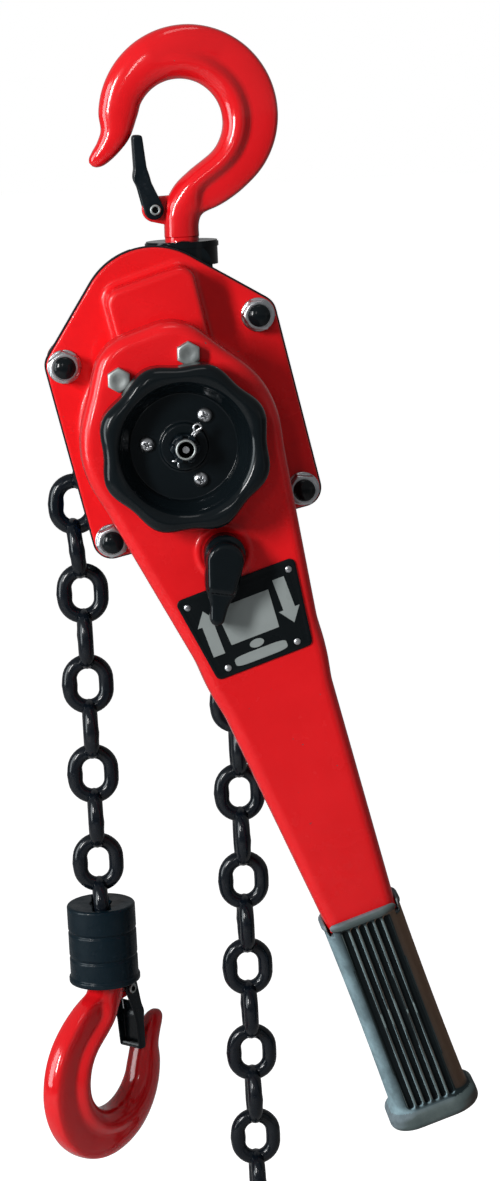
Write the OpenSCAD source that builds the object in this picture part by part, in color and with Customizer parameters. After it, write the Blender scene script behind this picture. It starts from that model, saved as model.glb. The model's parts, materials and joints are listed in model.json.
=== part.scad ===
// Come along winch: lever chain hoist with a hand wheel, two swivel hooks and a round-link chain.
// Frame: origin in the bowl of the top hook, Z up, hand wheel towards -Y, X to the right seen from the wheel.

/* [Chain] */
// wire thickness of one link
chain_wire = 7.7; // [6:0.1:9]
// pitch of the chain, centre of one link to the next
chain_pitch = 24; // [20:0.5:30]
// outer width of a link
chain_width = 26.7; // [22:0.1:30]
// slack between two linked crowns
chain_slack = 0.3; // [0.1:0.1:0.6]
// links hanging free on the load side
load_links = 8; // [4:1:12]
// links hanging free on the slack side
tail_links = 17; // [6:1:24]
// how much each hidden slack link turns on over a plain quarter turn
tail_twist = 18; // [0:1:20]

/* [Frame] */
// main axis, sideways from the hook bowl
axis_x = -10.7; // [-30:0.1:30]
// main axis, height under the hook bowl (downwards is negative)
axis_z = -173.1; // [-200:0.1:-150]
// lean of the whole body
tilt = 12; // [0:0.5:20]
// half the room between the side plates
room = 16.5; // [15:0.5:20]
// side plate thickness
plate_t = 4; // [3:0.5:6]
// bolt pattern, half height
bolt_z = 45.5; // [40:0.5:50]
// bolt pattern, half width
bolt_x = 50; // [44:0.5:56]
// bolt pattern, shift to the slack side
bolt_dx = 4.7; // [0:0.1:8]
// corner radius round each stay bolt
corner_r = 9; // [8:0.5:12]
// radius of the plate top
crown_r = 36.8; // [30:0.1:44]
// centre of the plate top, sideways
crown_x = 4; // [0:0.5:10]
// centre of the plate top, height over the main axis
crown_z = 55.3; // [50:0.1:64]
// stay bolt thickness
stay_d = 10; // [6:0.5:12]
// hexagon of the stay bolt nuts, across corners
nut_d = 15.4; // [12:0.1:18]
// spacer sleeve diameter
sleeve_d = 12; // [11:0.5:14]

/* [Brake cover] */
// flange thickness of the cover
cover_t = 2; // [1.5:0.1:3]
// radius of the drum of the cover
drum_r = 47; // [44:0.5:48]
// front face of the cover
drum_y = -44.5; // [-48:0.5:-40]
// top of the pawl hump over the main axis
hump_z = 79; // [70:0.5:82]
// front face of the pawl hump
hump_y = -40; // [-44:0.5:-34]
// radius of the collar the lever turns on
collar_r = 27; // [24:0.5:30]

/* [Lever] */
// lean of the lever beyond the body
lever_swing = 5.8; // [-30:0.1:30]
// radius of the lever head
head_r = 49; // [46:0.5:54]
// half width of the arm where it narrows
waist_r = 30; // [26:0.5:34]
// distance of the waist from the main axis
waist_z = 118; // [100:1:130]
// half width of the arm at the grip
wrist_r = 18.5; // [16:0.5:22]
// distance of the wrist from the main axis
wrist_z = 262; // [240:1:280]
// rear face of the lever
lever_back = -46; // [-48:0.5:-45]
// seam between the two shells
lever_seam = -59.5; // [-62:0.5:-56]
// front face of the lever
lever_front = -73; // [-78:0.5:-70]
// shell thickness
shell_t = 2.5; // [2:0.1:3]
// width of the grip
grip_w = 41; // [36:0.5:46]
// depth of the grip
grip_d = 34; // [28:0.5:40]
// start of the grip
grip_z0 = 256; // [240:1:270]
// end of the grip
grip_z1 = 373; // [350:1:390]
// thickness of the end flange
grip_flange = 9; // [6:0.5:12]
// distance of the selector from the main axis
selector_z = 57; // [54:0.5:64]
// turn of the selector towards the raising side
selector_turn = 28; // [0:1:35]

/* [Hand wheel] */
// radius over the lobes
wheel_r = 41.9; // [40:0.1:46]
// number of lobes
wheel_lobes = 8; // [6:1:10]
// depth of the scallops between the lobes
scallop = 2.8; // [1:0.1:5]
// back face of the wheel
wheel_back = -76.5; // [-80:0.5:-76]
// front face of the wheel
wheel_front = -97; // [-102:0.5:-92]

/* [Hooks] */
// radius of the hook bowl
bowl_r = 21.5; // [18:0.1:26]
// outer radius of the hook back
back_r = 45; // [40:0.1:50]
// stem diameter of the hook
stem_d = 17.5; // [14:0.1:20]
// thickness of the hook in the bowl
hook_t = 21; // [16:0.5:28]
// top of the yoke under the bowl
yoke_z = -80; // [-90:0.5:-76]
// diameter of the yoke collar
yoke_d = 36; // [30:0.5:40]
// height of the yoke pin under the bowl (downwards is negative)
pin_z = -106; // [-112:0.5:-100]
// size of the bottom hook against the top one
low_scale = 0.98; // [0.8:0.01:1]
// turn of the bottom hook about its own stem
low_turn = 48; // [0:1:90]
// how much deeper the bottom hook sits in its block than the top one in its yoke
low_sunk = 8; // [0:0.5:8]
// how deep the pin of the last link sits in the block
eye_depth = 10.05; // [9:0.05:14]
// diameter of the bottom block
block_d = 36; // [30:0.5:44]
// height of the bottom block
block_h = 42; // [38:0.5:50]

/* [Gears and brake] */
// gear module
gear_m = 1.04; // [0.9:0.01:1.2]
// teeth of the pinions
pinion_n = 10; // [8:1:14]
// teeth of the large gears
gear_n = 40; // [30:1:50]
// ratchet disc radius
ratchet_r = 27; // [24:0.5:30]
// ratchet teeth
ratchet_n = 12; // [10:1:16]
// thickness of a friction disc
lining_t = 2; // [1.5:0.1:3]

/* [Hidden] */
$fn = 64;
wire_r = chain_wire / 2;
bend_r = (chain_width - chain_wire) / 2;
crown = (chain_pitch + chain_wire + chain_slack) / 2;
// half the spacing of two links that meet at the bend angle of the sheave
bent_half = crown - (chain_wire + chain_slack) / 2 / cos(18);
joint_r = bent_half / sin(18);
plate_out = room + plate_t;
flange_y = -plate_out - cover_t;
wrap_start = 187.1;
leave_roll = 12;
lay_stand = 38.1;
lay_flat = 35.5;
tail_x = 14.8;
load_x = -61.3;
pin_x = -1.5;
gear_c = gear_m * (pinion_n + gear_n) / 2;
run_gap = 0.3;
sunk_room = 0.8;
red = [0.85, 0.07, 0.08];
black = [0.1, 0.1, 0.11];
steel = [0.72, 0.73, 0.74];
dark = [0.22, 0.22, 0.23];

// ---- helpers -------------------------------------------------------------------------------
// outline round a ring of circles [x, y, r] given counter-clockwise: straight tangents and true arcs
// (the lines run a hair inside the arcs, so that each meets its arc in a clean crossing)
hair = 0.002;
function on_arc(c, a) = [c[0] + (c[2] - hair) * cos(a), c[1] + (c[2] - hair) * sin(a)];
function tangent(a, b) =
    let (d = [b[0] - a[0], b[1] - a[1]], f = atan2(d[1], d[0]), k = acos((a[2] - b[2]) / norm(d)))
    [on_arc(a, f - k), on_arc(b, f - k)];
function band(cs) = [for (i = [0 : len(cs) - 1]) each tangent(cs[i], cs[(i + 1) % len(cs)])];
module round_hull(cs) {
    polygon(band(cs));
    for (c = cs) translate([c[0], c[1]]) circle(c[2]);
}
// upright slab: a drawing in X and Z, thick from y0 to y1
module slab(y0, y1) {
    translate([0, y1, 0]) rotate([90, 0, 0]) linear_extrude(y1 - y0) children();
}
module rod(x, z, r, y0, y1) { slab(y0, y1) translate([x, z]) circle(r); }
module at_axis() { translate([axis_x, 0, axis_z]) children(); }
module in_body() { at_axis() rotate([0, -tilt, 0]) children(); }
module in_lever() { at_axis() rotate([0, -tilt - lever_swing, 0]) children(); }
// turned shape about the Y axis: profile as [radius, y]
module turned(pts) { rotate([-90, 0, 0]) rotate_extrude() polygon(pts); }
// round wire along a list of points, six-sided
function unit(v) = v / norm(v);
function side_of(t) = unit(cross(t, abs(t[2]) < 0.9 ? [0, 0, 1] : [1, 0, 0]));
function move_side(s, t) = unit(s - t * (s * t));
function tangents(p) = [for (i = [0 : len(p) - 1])
    unit(p[min(i + 1, len(p) - 1)] - p[max(i - 1, 0)])];
function sides(t, i, s) = i >= len(t) ? [] : let (n = move_side(s, t[i])) concat([n], sides(t, i + 1, n));
module wire(p, r, n = 6) {
    t = tangents(p);
    s = sides(t, 0, side_of(t[0]));
    m = len(p);
    pts = [for (i = [0 : m - 1]) for (k = [0 : n - 1])
        p[i] + r * (cos(360 * k / n) * s[i] + sin(360 * k / n) * cross(t[i], s[i]))];
    faces = concat(
        [[for (k = [0 : n - 1]) k]],
        [for (i = [0 : m - 2]) for (k = [0 : n - 1])
            [i * n + k, (i + 1) * n + k, (i + 1) * n + (k + 1) % n, i * n + (k + 1) % n]],
        [[for (k = [n - 1 : -1 : 0]) (m - 1) * n + k]]);
    polyhedron(pts, faces);
}

// ---- chain ---------------------------------------------------------------------------------
module half_link() {
    translate([0, 0, crown - bend_r]) rotate([90, 0, 0])
        rotate_extrude(angle = 180) translate([bend_r, 0]) circle(wire_r);
    translate([bend_r, 0, -0.01]) cylinder(r = wire_r, h = crown - bend_r + 0.01);
    translate([-bend_r, 0, -0.01]) cylinder(r = wire_r, h = crown - bend_r + 0.01);
}
module link() { half_link(); rotate([0, 180, 0]) half_link(); }
module link_between(p, q, roll) {
    translate([(p[0] + q[0]) / 2, 0, (p[1] + q[1]) / 2])
        rotate([0, atan2(p[0] - q[0], p[1] - q[1]), 0]) rotate([0, 0, roll]) link();
}
function step_to(p, dx, l) = [p[0] + dx, p[1] - sqrt(l * l - dx * dx)];
// the links that leave the sheave over the guide: [x, z, lean]
lead = [[-56.1, -188.2, 20.2], [-62.9, -210.9, 3.2], [-63.2, -233.9, -5.7]];
load_top = [load_x, -245.5];
leave_r = joint_r - 1.5;
leave_top = [axis_x + leave_r * cos(wrap_start - 216), axis_z + leave_r * sin(wrap_start - 216)];
tail_top = step_to(leave_top, tail_x - leave_top[0], 23.1);
module link_place(c, roll) {
    translate([c[0], 0, c[1]]) rotate([0, c[2], 0]) rotate([0, 0, roll]) children();
}
// standing links ride further out on the sheave than the lying ones, so a bent pair stays clear
function sheave_link(k) = let (a = wrap_start - 36 * (k + 0.5), r = k % 2 == 0 ? lay_stand : lay_flat)
    [axis_x + r * cos(a), axis_z + r * sin(a), -a];
module wrapped_chain() color(black) {
    for (k = [0 : 5]) link_place(sheave_link(k), k % 2 == 0 ? 0 : 90) link();
    link_place(lead[0], 90) link();
    link_place(lead[1], 0) link();
    link_between(leave_top, tail_top, leave_roll);
}
module load_chain() color(black) {
    link_place(lead[2], 90) link();
    for (k = [0 : load_links - 1])
        link_between([load_x, load_top[1] - k * chain_pitch], [load_x, load_top[1] - (k + 1) * chain_pitch],
            k % 2 == 0 ? 0 : 90);
}
module tail_chain() color(black) {
    for (k = [0 : tail_links - 1])
        link_between([tail_x, tail_top[1] - k * chain_pitch], [tail_x, tail_top[1] - (k + 1) * chain_pitch],
            (k + 1) * 90 + min(k + 1, 5) * tail_twist);
}

// ---- hooks ---------------------------------------------------------------------------------
// a forged hook as rings along its bend: [x, z, half width, half thickness, outward angle]
bowl_c = [0.5, -bowl_r];
back_c = [5, -18.5];
function back_reach(a) = let (u = [cos(a), sin(a)], d = back_c - bowl_c, k = u * d)
    k + sqrt(back_r * back_r - d * d + k * k);
function bowl_ring(a, t) = let (s = (bowl_r + back_reach(a)) / 2)
    [bowl_c[0] + s * cos(a), bowl_c[1] + s * sin(a), (back_reach(a) - bowl_r) / 2, t, a];
neck_rings = [[-1.2, -78, stem_d / 2, stem_d / 2, 0], [-1, -71, stem_d / 2, stem_d / 2, -4],
    [0.5, -64.5, 9.8, 9, -15], [6.5, -58.4, 11.9, 9.6, -28], [13.5, -53.2, 12.4, 10.1, -37]];
bowl_rings = [for (a = [-46 : 18 : 170]) bowl_ring(a, hook_t / 2 - 2.6 * pow(max(0, a - 60) / 110, 1.4))];
tip_rings = [[-32, -25.5, 7.5, 7.2, 163], [-36.3, -32.3, 5.8, 6.2, 146], [-40.8, -37, 4.6, 4.9, 132],
    [-43.7, -39.3, 3.1, 3.3, 130], [-45, -40.2, 1.2, 1.3, 130]];
hook_rings = concat(neck_rings, bowl_rings, tip_rings);
function blend(p, i, t) = let (a = p[max(i - 1, 0)], b = p[i], c = p[i + 1], d = p[min(i + 2, len(p) - 1)])
    b + t * (c - a) / 2 + t * t * (a - 2.5 * b + 2 * c - d / 2) + t * t * t * ((d - a) / 2 + 1.5 * (b - c));
ring_list = concat(
    [for (i = [0 : len(hook_rings) - 2]) each [blend(hook_rings, i, 0), blend(hook_rings, i, 0.5)]],
    [hook_rings[len(hook_rings) - 1]]);
ring_n = 20;
function lift(v, e) = sign(v) * pow(abs(v), e);
function ring_point(r, k) = let (a = 360 * k / ring_n, u = r[2] * lift(cos(a), 0.9),
    v = r[3] * lift(sin(a), 0.82) * (1 - 0.14 * cos(a) * (r[4] < -10 ? 1 : 0.3)))
    [r[0] + u * cos(r[4]), v, r[1] + u * sin(r[4])];
module forging() {
    m = len(ring_list);
    pts = [for (r = ring_list) for (k = [0 : ring_n - 1]) ring_point(r, k)];
    polyhedron(pts, concat([[for (k = [0 : ring_n - 1]) k]],
        [for (i = [0 : m - 2]) for (k = [0 : ring_n - 1]) each let (a = i * ring_n + k, b = i * ring_n
            + (k + 1) % ring_n) [[a, a + ring_n, b], [b, a + ring_n, b + ring_n]]],
        [[for (k = [ring_n - 1 : -1 : 0]) (m - 1) * ring_n + k]]));
}
stem_x = -1.2;
latch_p = [-14.3, -63.8];
latch_t = [-21.4, -28.6];
button_r = 12;
button_z0 = -91.4;
button_z1 = -84.6;
ear_in = 6.1;
ear_out = 7.4;
module hook() {
    difference() {
        union() {
            forging();
            translate([stem_x, 0, button_z0]) cylinder(r = stem_d / 2 - 0.2, h = -75 - button_z0);
            translate([stem_x, 0, button_z0]) cylinder(r = button_r, h = button_z1 - button_z0);
            slab(-2.5, 2.5) round_hull([[latch_p[0], latch_p[1], 4.6], [-3, -66, 5.5]]);
        }
        rod(latch_p[0], latch_p[1], 2.05, -4, 4);
    }
}
module latch() {
    w = [latch_t[0] - latch_p[0], latch_t[1] - latch_p[1]] / norm(latch_t - latch_p);
    n = [-w[1], w[0]];
    spine_a = latch_p + 14 * w + 3.2 * n;
    spine_b = latch_t + 1.6 * n;
    difference() {
        union() {
            for (s = [-1, 1]) slab(min(s * ear_in, s * ear_out), max(s * ear_in, s * ear_out))
                round_hull([[latch_p[0], latch_p[1], 4.8], [latch_t[0], latch_t[1], 2.4]]);
            slab(-ear_out, ear_out)
                round_hull([[spine_a[0], spine_a[1], 0.75], [spine_b[0], spine_b[1], 0.75]]);
            rod(latch_t[0], latch_t[1], 2.4, -ear_out, ear_out);
        }
        rod(latch_p[0], latch_p[1], 2.06, -9, 9);
    }
}
module latch_pin() {
    rod(latch_p[0], latch_p[1], 2, -9, 9);
    for (s = [-1, 1]) rod(latch_p[0], latch_p[1], 3.4, s > 0 ? 7.7 : -9, s > 0 ? 9 : -7.7);
}
coil_r = 3;
coil_wire = 0.36;
coil_turns = 2.25;
coil_step = 1.2;
module latch_spring() {
    p = concat([[latch_p[0] - 4.6, 2.95, latch_p[1] + 15]],
        [for (k = [0 : coil_turns * 8]) [latch_p[0] + coil_r * cos(180 - 45 * k), 3.0 + coil_step * k / 8,
            latch_p[1] + coil_r * sin(180 - 45 * k)]],
        [[latch_p[0] + 4.8, 3.0 + coil_step * coil_turns, latch_p[1] + 5]]);
    wire(p, coil_wire);
}
echo(gap_latch_spring = coil_step - 2 * coil_wire);
module low_place() {
    translate([load_x, 0, low_z + low_sunk + low_scale * yoke_z]) rotate([0, 0, low_turn])
        translate([low_scale * stem_x, 0, 0]) rotate([0, 180, 0]) scale(low_scale) children();
}
module top_hook() color(red) hook();
module top_latch() color(black) latch();
module top_latch_pin() color(steel) latch_pin();
module top_latch_spring() color(steel) latch_spring();
module bottom_hook() color(red) low_place() hook();
module bottom_latch() color(black) low_place() latch();
module bottom_latch_pin() color(steel) low_place() latch_pin();
module bottom_latch_spring() color(steel) low_place() latch_spring();

// ---- top yoke and bottom block -------------------------------------------------------------
yoke_low = -92;
tongue_r = 14;
tongue_y = room - 0.7;
pin_r = 6;
screw_r = 2;
module yoke_solid() {
    difference() {
        union() {
            translate([pin_x, 0, yoke_low]) cylinder(r = yoke_d / 2, h = yoke_z - yoke_low);
            translate([pin_x, 0, yoke_z - 3]) cylinder(r = yoke_d / 2 + 0.6, h = 2.2);
            slab(-tongue_y, tongue_y)
                round_hull([[pin_x, pin_z, tongue_r], [pin_x, yoke_low - 1.5, tongue_r]]);
        }
        translate([stem_x, 0, button_z1 - 1]) cylinder(r = stem_d / 2 + run_gap, h = 20);
        translate([stem_x, 0, button_z0 - run_gap]) cylinder(r = button_r + 0.4, h = button_z1 - button_z0
            + 2 * run_gap);
        rod(pin_x, pin_z, pin_r + 0.06, -20, 20);
        yoke_screw_cuts();
    }
}
yoke_screw_at = [[pin_x - 10.2, -98], [pin_x + 10.2, -98]];
module yoke_screw_cuts() for (p = yoke_screw_at) {
    rod(p[0], p[1], screw_r, -12, 20);
    rod(p[0], p[1], 3.2, 12.5, 30);
}
module yoke_screws() color(steel) for (p = yoke_screw_at) {
    rod(p[0], p[1], screw_r, -11.5, 12.5);
    rod(p[0], p[1], 3.1, 12.5, tongue_y - 0.1);
}
module front_side(y) { translate([-300, y - 100, -900]) cube([600, 100, 1000]); }
module rear_side(y) { translate([-300, y, -900]) cube([600, 100, 1000]); }
module yoke_front() color(black) intersection() { yoke_solid(); front_side(0); }
module yoke_rear() color(black) intersection() { yoke_solid(); rear_side(0); }
module top_pin() color(steel) {
    rod(pin_x, pin_z, pin_r, -plate_out + 0.1, plate_out + 3);
    rod(pin_x, pin_z, pin_r + 2.5, plate_out + 0.05, plate_out + 3);
}
last_z = load_top[1] - (load_links - 0.5) * chain_pitch;
eye_pin_z = last_z - crown + wire_r + 3.6;
block_top = eye_pin_z + eye_depth;
low_z = block_top - block_h;
low_b0 = low_z + low_sunk + low_scale * (yoke_z - button_z0);
low_b1 = low_z + low_sunk + low_scale * (yoke_z - button_z1);
module block_solid() {
    difference() {
        union() {
            translate([load_x, 0, low_z]) cylinder(r = block_d / 2, h = block_h);
            translate([load_x, 0, low_z]) cylinder(r = block_d / 2 + 0.8, h = 3);
        }
        for (k = [1, 2]) translate([load_x, 0, low_z + k * block_h / 3]) rotate_extrude()
            translate([block_d / 2 - 0.7, -0.6]) square([2, 1.2]);
        translate([load_x - wire_r - 0.5, -chain_width / 2 - 0.5, last_z - crown - wire_r - 0.6])
            cube([chain_wire + 1, chain_width + 1, 60]);
        translate([load_x, 0, block_top - 7]) cylinder(r = 9, h = 10);
        translate([load_x, 0, low_z - 1]) cylinder(r = low_scale * stem_d / 2 + run_gap + sunk_room, h = 14);
        translate([load_x, 0, low_b1 - run_gap]) cylinder(r = low_scale * button_r + 0.4, h = low_b0 - low_b1
            + 2 * run_gap);
        translate([load_x - 14.5, 0, eye_pin_z]) rotate([0, 90, 0]) cylinder(r = 3.55, h = 29);
        block_screw_cuts();
    }
}
block_screw_at = [[load_x - 9, low_z + 23.5], [load_x + 9, low_z + 23.5]];
module block_screw_cuts() for (p = block_screw_at) {
    rod(p[0], p[1], screw_r, -10, 20);
    rod(p[0], p[1], 3.2, 10, 30);
}
module block_screws() color(dark) for (p = block_screw_at) {
    rod(p[0], p[1], screw_r, -9.5, 10);
    rod(p[0], p[1], 3.1, 10, 14);
}
module block_front() color(dark) intersection() { block_solid(); front_side(0); }
module block_rear() color(dark) intersection() { block_solid(); rear_side(0); }
module eye_pin() color(steel)
    translate([load_x - 14, 0, eye_pin_z]) rotate([0, 90, 0]) cylinder(r = 3.5, h = 28);
ring_z = tail_top[1] - (tail_links - 0.5) * chain_pitch - crown + chain_wire + run_gap - 15 - 0.35;
module end_ring() color(steel) translate([tail_x, 0, ring_z]) rotate([0, 90, 0])
    rotate_extrude() translate([15, 0]) circle(3.5);

// ---- frame ---------------------------------------------------------------------------------
bolts = [[bolt_dx - bolt_x, -bolt_z], [bolt_dx + bolt_x, -bolt_z], [bolt_dx + bolt_x, bolt_z],
    [bolt_dx - bolt_x, bolt_z]];
function corner(i, grow) = [bolts[i][0], bolts[i][1], corner_r + grow];
module body_outline(grow = 0, drop = 0) {
    round_hull([corner(0, grow), corner(1, grow), corner(2, grow),
        [crown_x, crown_z - drop, crown_r + grow], corner(3, grow)]);
}
module at_bolts() { for (b = bolts) translate([b[0], b[1]]) children(); }
bearing_in = 11;
rear_drop = 8;
bearing_out = 15;
module side_plate(s) {
    difference() {
        in_body() slab(s < 0 ? -plate_out : room, s < 0 ? -room : plate_out) difference() {
            body_outline(s < 0 ? 0.8 : -1.2, s < 0 ? 0 : rear_drop);
            at_bolts() circle(stay_d / 2 + 0.05);
            circle(bearing_out);
        }
        translate([pin_x - 27, s < 0 ? -19.2 : 0, -96]) cube([54, 19.2, 40]);
        rod(pin_x, pin_z, pin_r + 0.02, -30, 30);
    }
}
module front_plate() color(black) difference() {
    side_plate(-1);
    for (p = pawls) in_body() rod(p[0], p[1], 2.5, -30, 0);
}
module rear_plate() color(black) difference() {
    side_plate(1);
    for (s = [-1, 1]) in_body() rod(0, s * gear_c, 4, 0, 40);
}
module bearings() color(steel) {
    at_axis() turned([[bearing_in + 0.05, -plate_out + 0.1], [bearing_out, -plate_out + 0.1],
        [bearing_out, -room], [bearing_in + 0.05, -room]]);
    at_axis() turned([[bearing_in + 0.05, room], [bearing_out, room], [bearing_out, plate_out - 0.1],
        [bearing_in + 0.05, plate_out - 0.1]]);
    at_axis() turned([[4.1, case_y - 4], [6.5, case_y - 4], [6.5, case_y - 0.5], [4.1, case_y - 0.5]]);
}
hump = [[-9.5, 30, 8], [20, 30, 8], [20.5, hump_z - 7, 8], [-9.5, hump_z - 9.5, 8]];
module brake_cover() color(red) in_body() difference() {
    union() {
        slab(flange_y, -plate_out) body_outline();
        rod(0, 0, drum_r, drum_y, flange_y + 0.5);
        slab(hump_y, flange_y + 0.5) round_hull(hump);
        rod(0, 0, collar_r, lever_back - shell_t - 0.3, drum_y + 0.5);
    }
    rod(0, 0, drum_r - cover_t, drum_y + cover_t, -10);
    slab(hump_y + cover_t, -10) round_hull([for (h = hump) [h[0], h[1], h[2] - cover_t]]);
    rod(0, 0, collar_r - 2.5, -60, -10);
    slab(-60, -10) at_bolts() circle(stay_d / 2 + 0.05);
}
case_y = 46;
module gear_case() color(red) in_body() difference() {
    union() {
        slab(plate_out, plate_out + cover_t) body_outline(-1.2, rear_drop);
        slab(plate_out, case_y) round_hull([[0, gear_c, 25], [0, -gear_c, 25]]);
    }
    slab(plate_out - 1, case_y - 2.5) round_hull([[0, gear_c, 22.5], [0, -gear_c, 22.5]]);
    slab(0, 60) at_bolts() circle(stay_d / 2 + 0.05);
    rod(pin_in_body[0], pin_in_body[1], pin_r + 3, 0, 30);
    rod(0, 0, 6.5, 30, 60);
    for (s = [-1, 1]) rod(0, s * gear_c, 3, 30, case_y - 1);
}
pin_in_body = [(pin_x - axis_x) * cos(tilt) + (pin_z - axis_z) * sin(tilt),
    -(pin_x - axis_x) * sin(tilt) + (pin_z - axis_z) * cos(tilt)];
module hexagon(r) { circle(r, $fn = 6); }
module stay_bolts() color(black) in_body() {
    slab(-31, plate_out + cover_t + 0.05) at_bolts() circle(stay_d / 2);
    slab(-32.5, -31) at_bolts() circle(stay_d / 2 - 1);
    slab(plate_out + cover_t + 0.05, plate_out + cover_t + 6) at_bolts() hexagon(nut_d / 2);
}
module stay_nuts() color(steel) in_body() difference() {
    union() {
        slab(flange_y - 7.5, flange_y - 0.05) at_bolts() hexagon(nut_d / 2);
        slab(flange_y - 1.5, flange_y - 0.05) at_bolts() circle(nut_d / 2 + 0.4);
    }
    slab(-60, 0) at_bolts() circle(stay_d / 2 + 0.02);
}
module spacers() color(steel) in_body() slab(-room + 0.02, room - 0.02) at_bolts() difference() {
    circle(sleeve_d / 2);
    circle(stay_d / 2 + 0.05);
}
// the guide the load chain runs over, the tongue in the sheave groove and the slack side bar
module chain_guide() color([0.1, 0.3, 0.7]) at_axis() difference() {
    slab(-room + 0.02, room - 0.02) union() {
        round_hull([[-41.3, -26.2, 3.4], [-34.2, -42.6, 4]]);
        round_hull([[-34.2, -42.6, 4], [-23, -46.6, 4]]);
    }
    translate([-axis_x, 0, -axis_z]) link_place(lead[1], 0)
        translate([-20, -wire_r - 0.6, -40]) cube([20 + chain_width / 2 + 0.5, chain_wire + 1.2, 70]);
}
module stripper() color(dark) at_axis() {
    slab(-room + 0.02, room - 0.02) round_hull([[-8, -53, 5], [6, -53, 5]]);
    slab(-3.6, 3.6) round_hull([[-1, -52, 5], [-1, -30, 2.5]]);
}
module slack_bar() color(steel) at_axis() rod(45.8, -36.1, 3.5, -room + 0.02, room - 0.02);

// ---- load sheave and gears -----------------------------------------------------------------
sheave_r = 41.2;
lead_room = 0.45;
groove_r = lay_stand - chain_width / 2 - 0.6;
sheave_y = room - 0.5;
pocket_r = lay_flat - wire_r - 0.35;
module pocket() {
    rotate([90, 0, 90]) translate([0, 0, pocket_r]) linear_extrude(20)
        union() {
            for (s = [-1, 1]) translate([0, s * (crown - bend_r + 0.4)]) circle(chain_width / 2 + 0.5);
            square([chain_width + 1, 2 * (crown - bend_r + 0.4)], center = true);
        }
}
// the room a link needs where it comes off the sheave
module link_room() {
    slab(-wire_r - lead_room, wire_r + lead_room) round_hull([
        [0, bend_r - crown, chain_width / 2 + lead_room], [0, crown - bend_r, chain_width / 2 + lead_room]]);
}
function between(p, q) = [(p[0] + q[0]) / 2, (p[1] + q[1]) / 2, atan2(p[0] - q[0], p[1] - q[1])];
function low_end(p) = [p[0], p[1] - chain_pitch];
module load_sheave() color(dark) at_axis() {
    difference() {
        union() {
            rod(0, 0, sheave_r, -sheave_y, sheave_y);
            rod(0, 0, bearing_in, -plate_out + 0.3, plate_out - 0.3);
            rod(0, 0, 9, 0, 31.5);
        }
        turned([[groove_r, -wire_r - 0.5], [50, -wire_r - 0.5], [50, wire_r + 0.5],
            [groove_r, wire_r + 0.5]]);
        for (k = [0 : 4]) rotate([0, -(wrap_start - 54 + 72 * k), 0]) pocket();
        rod(0, 0, 4.2, -60, 60);
        translate([-axis_x, 0, -axis_z]) {
            link_place(lead[0], 90) link_room();
            link_place(between(leave_top, tail_top), leave_roll) link_room();
            link_place(between(tail_top, low_end(tail_top)), 90 + tail_twist) link_room();
        }
    }
}
function tooth(n, k) = let (p = 360 / n, r = gear_m * n / 2, a = p * k)
    [for (q = [[-0.28, -1], [-0.11, 0.55], [0.11, 0.55], [0.28, -1]])
        (r + q[1] * gear_m) * [cos(a + q[0] * p), sin(a + q[0] * p)]];
module toothed(n) { polygon([for (k = [0 : n - 1]) each tooth(n, k)]); }
module load_gear() color(steel) in_body() slab(22.8, 31) difference() {
    rotate(90 + 180 / gear_n) toothed(gear_n);
    circle(9.05);
}
module idler_pair(s) {
    translate([0, 0, s * gear_c]) {
        slab(33.2, 38) rotate(-s * 90 + 180 / gear_n) toothed(gear_n);
        slab(23, 33.2) rotate(-s * 90) toothed(pinion_n);
        slab(room + 0.5, 23) circle(3.9);
        slab(38, case_y - 1.5) circle(2.9);
    }
}
module gear_upper() color(steel) in_body() idler_pair(1);
module gear_lower() color(steel) in_body() idler_pair(-1);
module drive_shaft() color(steel) {
    in_body() slab(33.2, 40) rotate(90) toothed(pinion_n);
    at_axis() rod(0, 0, 4, -21, case_y - 1);
    at_axis() rod(0, 0, 6, -86, -20.8);
    difference() {
        at_axis() rod(0, 0, 5, -96, -86);
        split_hole();
    }
}
split_y = -91.5;
split_a = 57;
module split_hole() at_axis() translate([0, split_y, 0]) rotate([0, 90 - split_a, 0])
    cylinder(r = 1.3, h = 40, center = true);

// ---- load brake ----------------------------------------------------------------------------
hub_y0 = -24.5;
disc_in = 11.1;
disc_out = 25;
ratchet_y1 = hub_y0 - lining_t - 0.1;
ratchet_y0 = ratchet_y1 - 5;
press_y = ratchet_y0 - lining_t - 0.1;
module friction_hub() color(steel) at_axis() turned([[6.02, -21.2], [26, -21.2], [26, hub_y0], [11, hub_y0],
    [11, press_y + 0.5], [6.02, press_y + 0.5]]);
module lining(y0) { at_axis() turned([[disc_in, y0], [disc_out, y0], [disc_out, y0 + lining_t], [disc_in, y0
    + lining_t]]); }
module friction_discs() color([0.45, 0.35, 0.22]) { lining(hub_y0 - lining_t); lining(press_y); }
module ratchet_disc() color(steel) in_body() slab(ratchet_y0, ratchet_y1) difference() {
    polygon([for (k = [0 : ratchet_n - 1]) each let (a = 55 + 360 * k / ratchet_n)
        let (b = a + 360 / ratchet_n - 0.5) [22 * [cos(a), sin(a)], ratchet_r * [cos(b), sin(b)]]]);
    circle(disc_in);
}
function polar(r, a) = [r * cos(a), r * sin(a)];
pawls = [polar(54, 91.5), polar(40, 217.5)];
pawl_tips = [polar(25.4, 60.5), polar(25.2, 180)];
pawl_r = [5, 4.2];
module pawl(i) in_body() slab(ratchet_y0 + 0.1, ratchet_y1 - 0.1) difference() {
    round_hull([[pawls[i][0], pawls[i][1], pawl_r[i]], [pawl_tips[i][0], pawl_tips[i][1], 1.5]]);
    translate(pawls[i]) circle(2.56);
}
module pawl_upper() color(steel) pawl(0);
module pawl_lower() color(steel) pawl(1);
module pawl_pins() color(steel) in_body() for (p = pawls) {
    rod(p[0], p[1], 2.5, -36, -room - 1);
    rod(p[0], p[1], 3.8, -37.5, -36);
}
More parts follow.
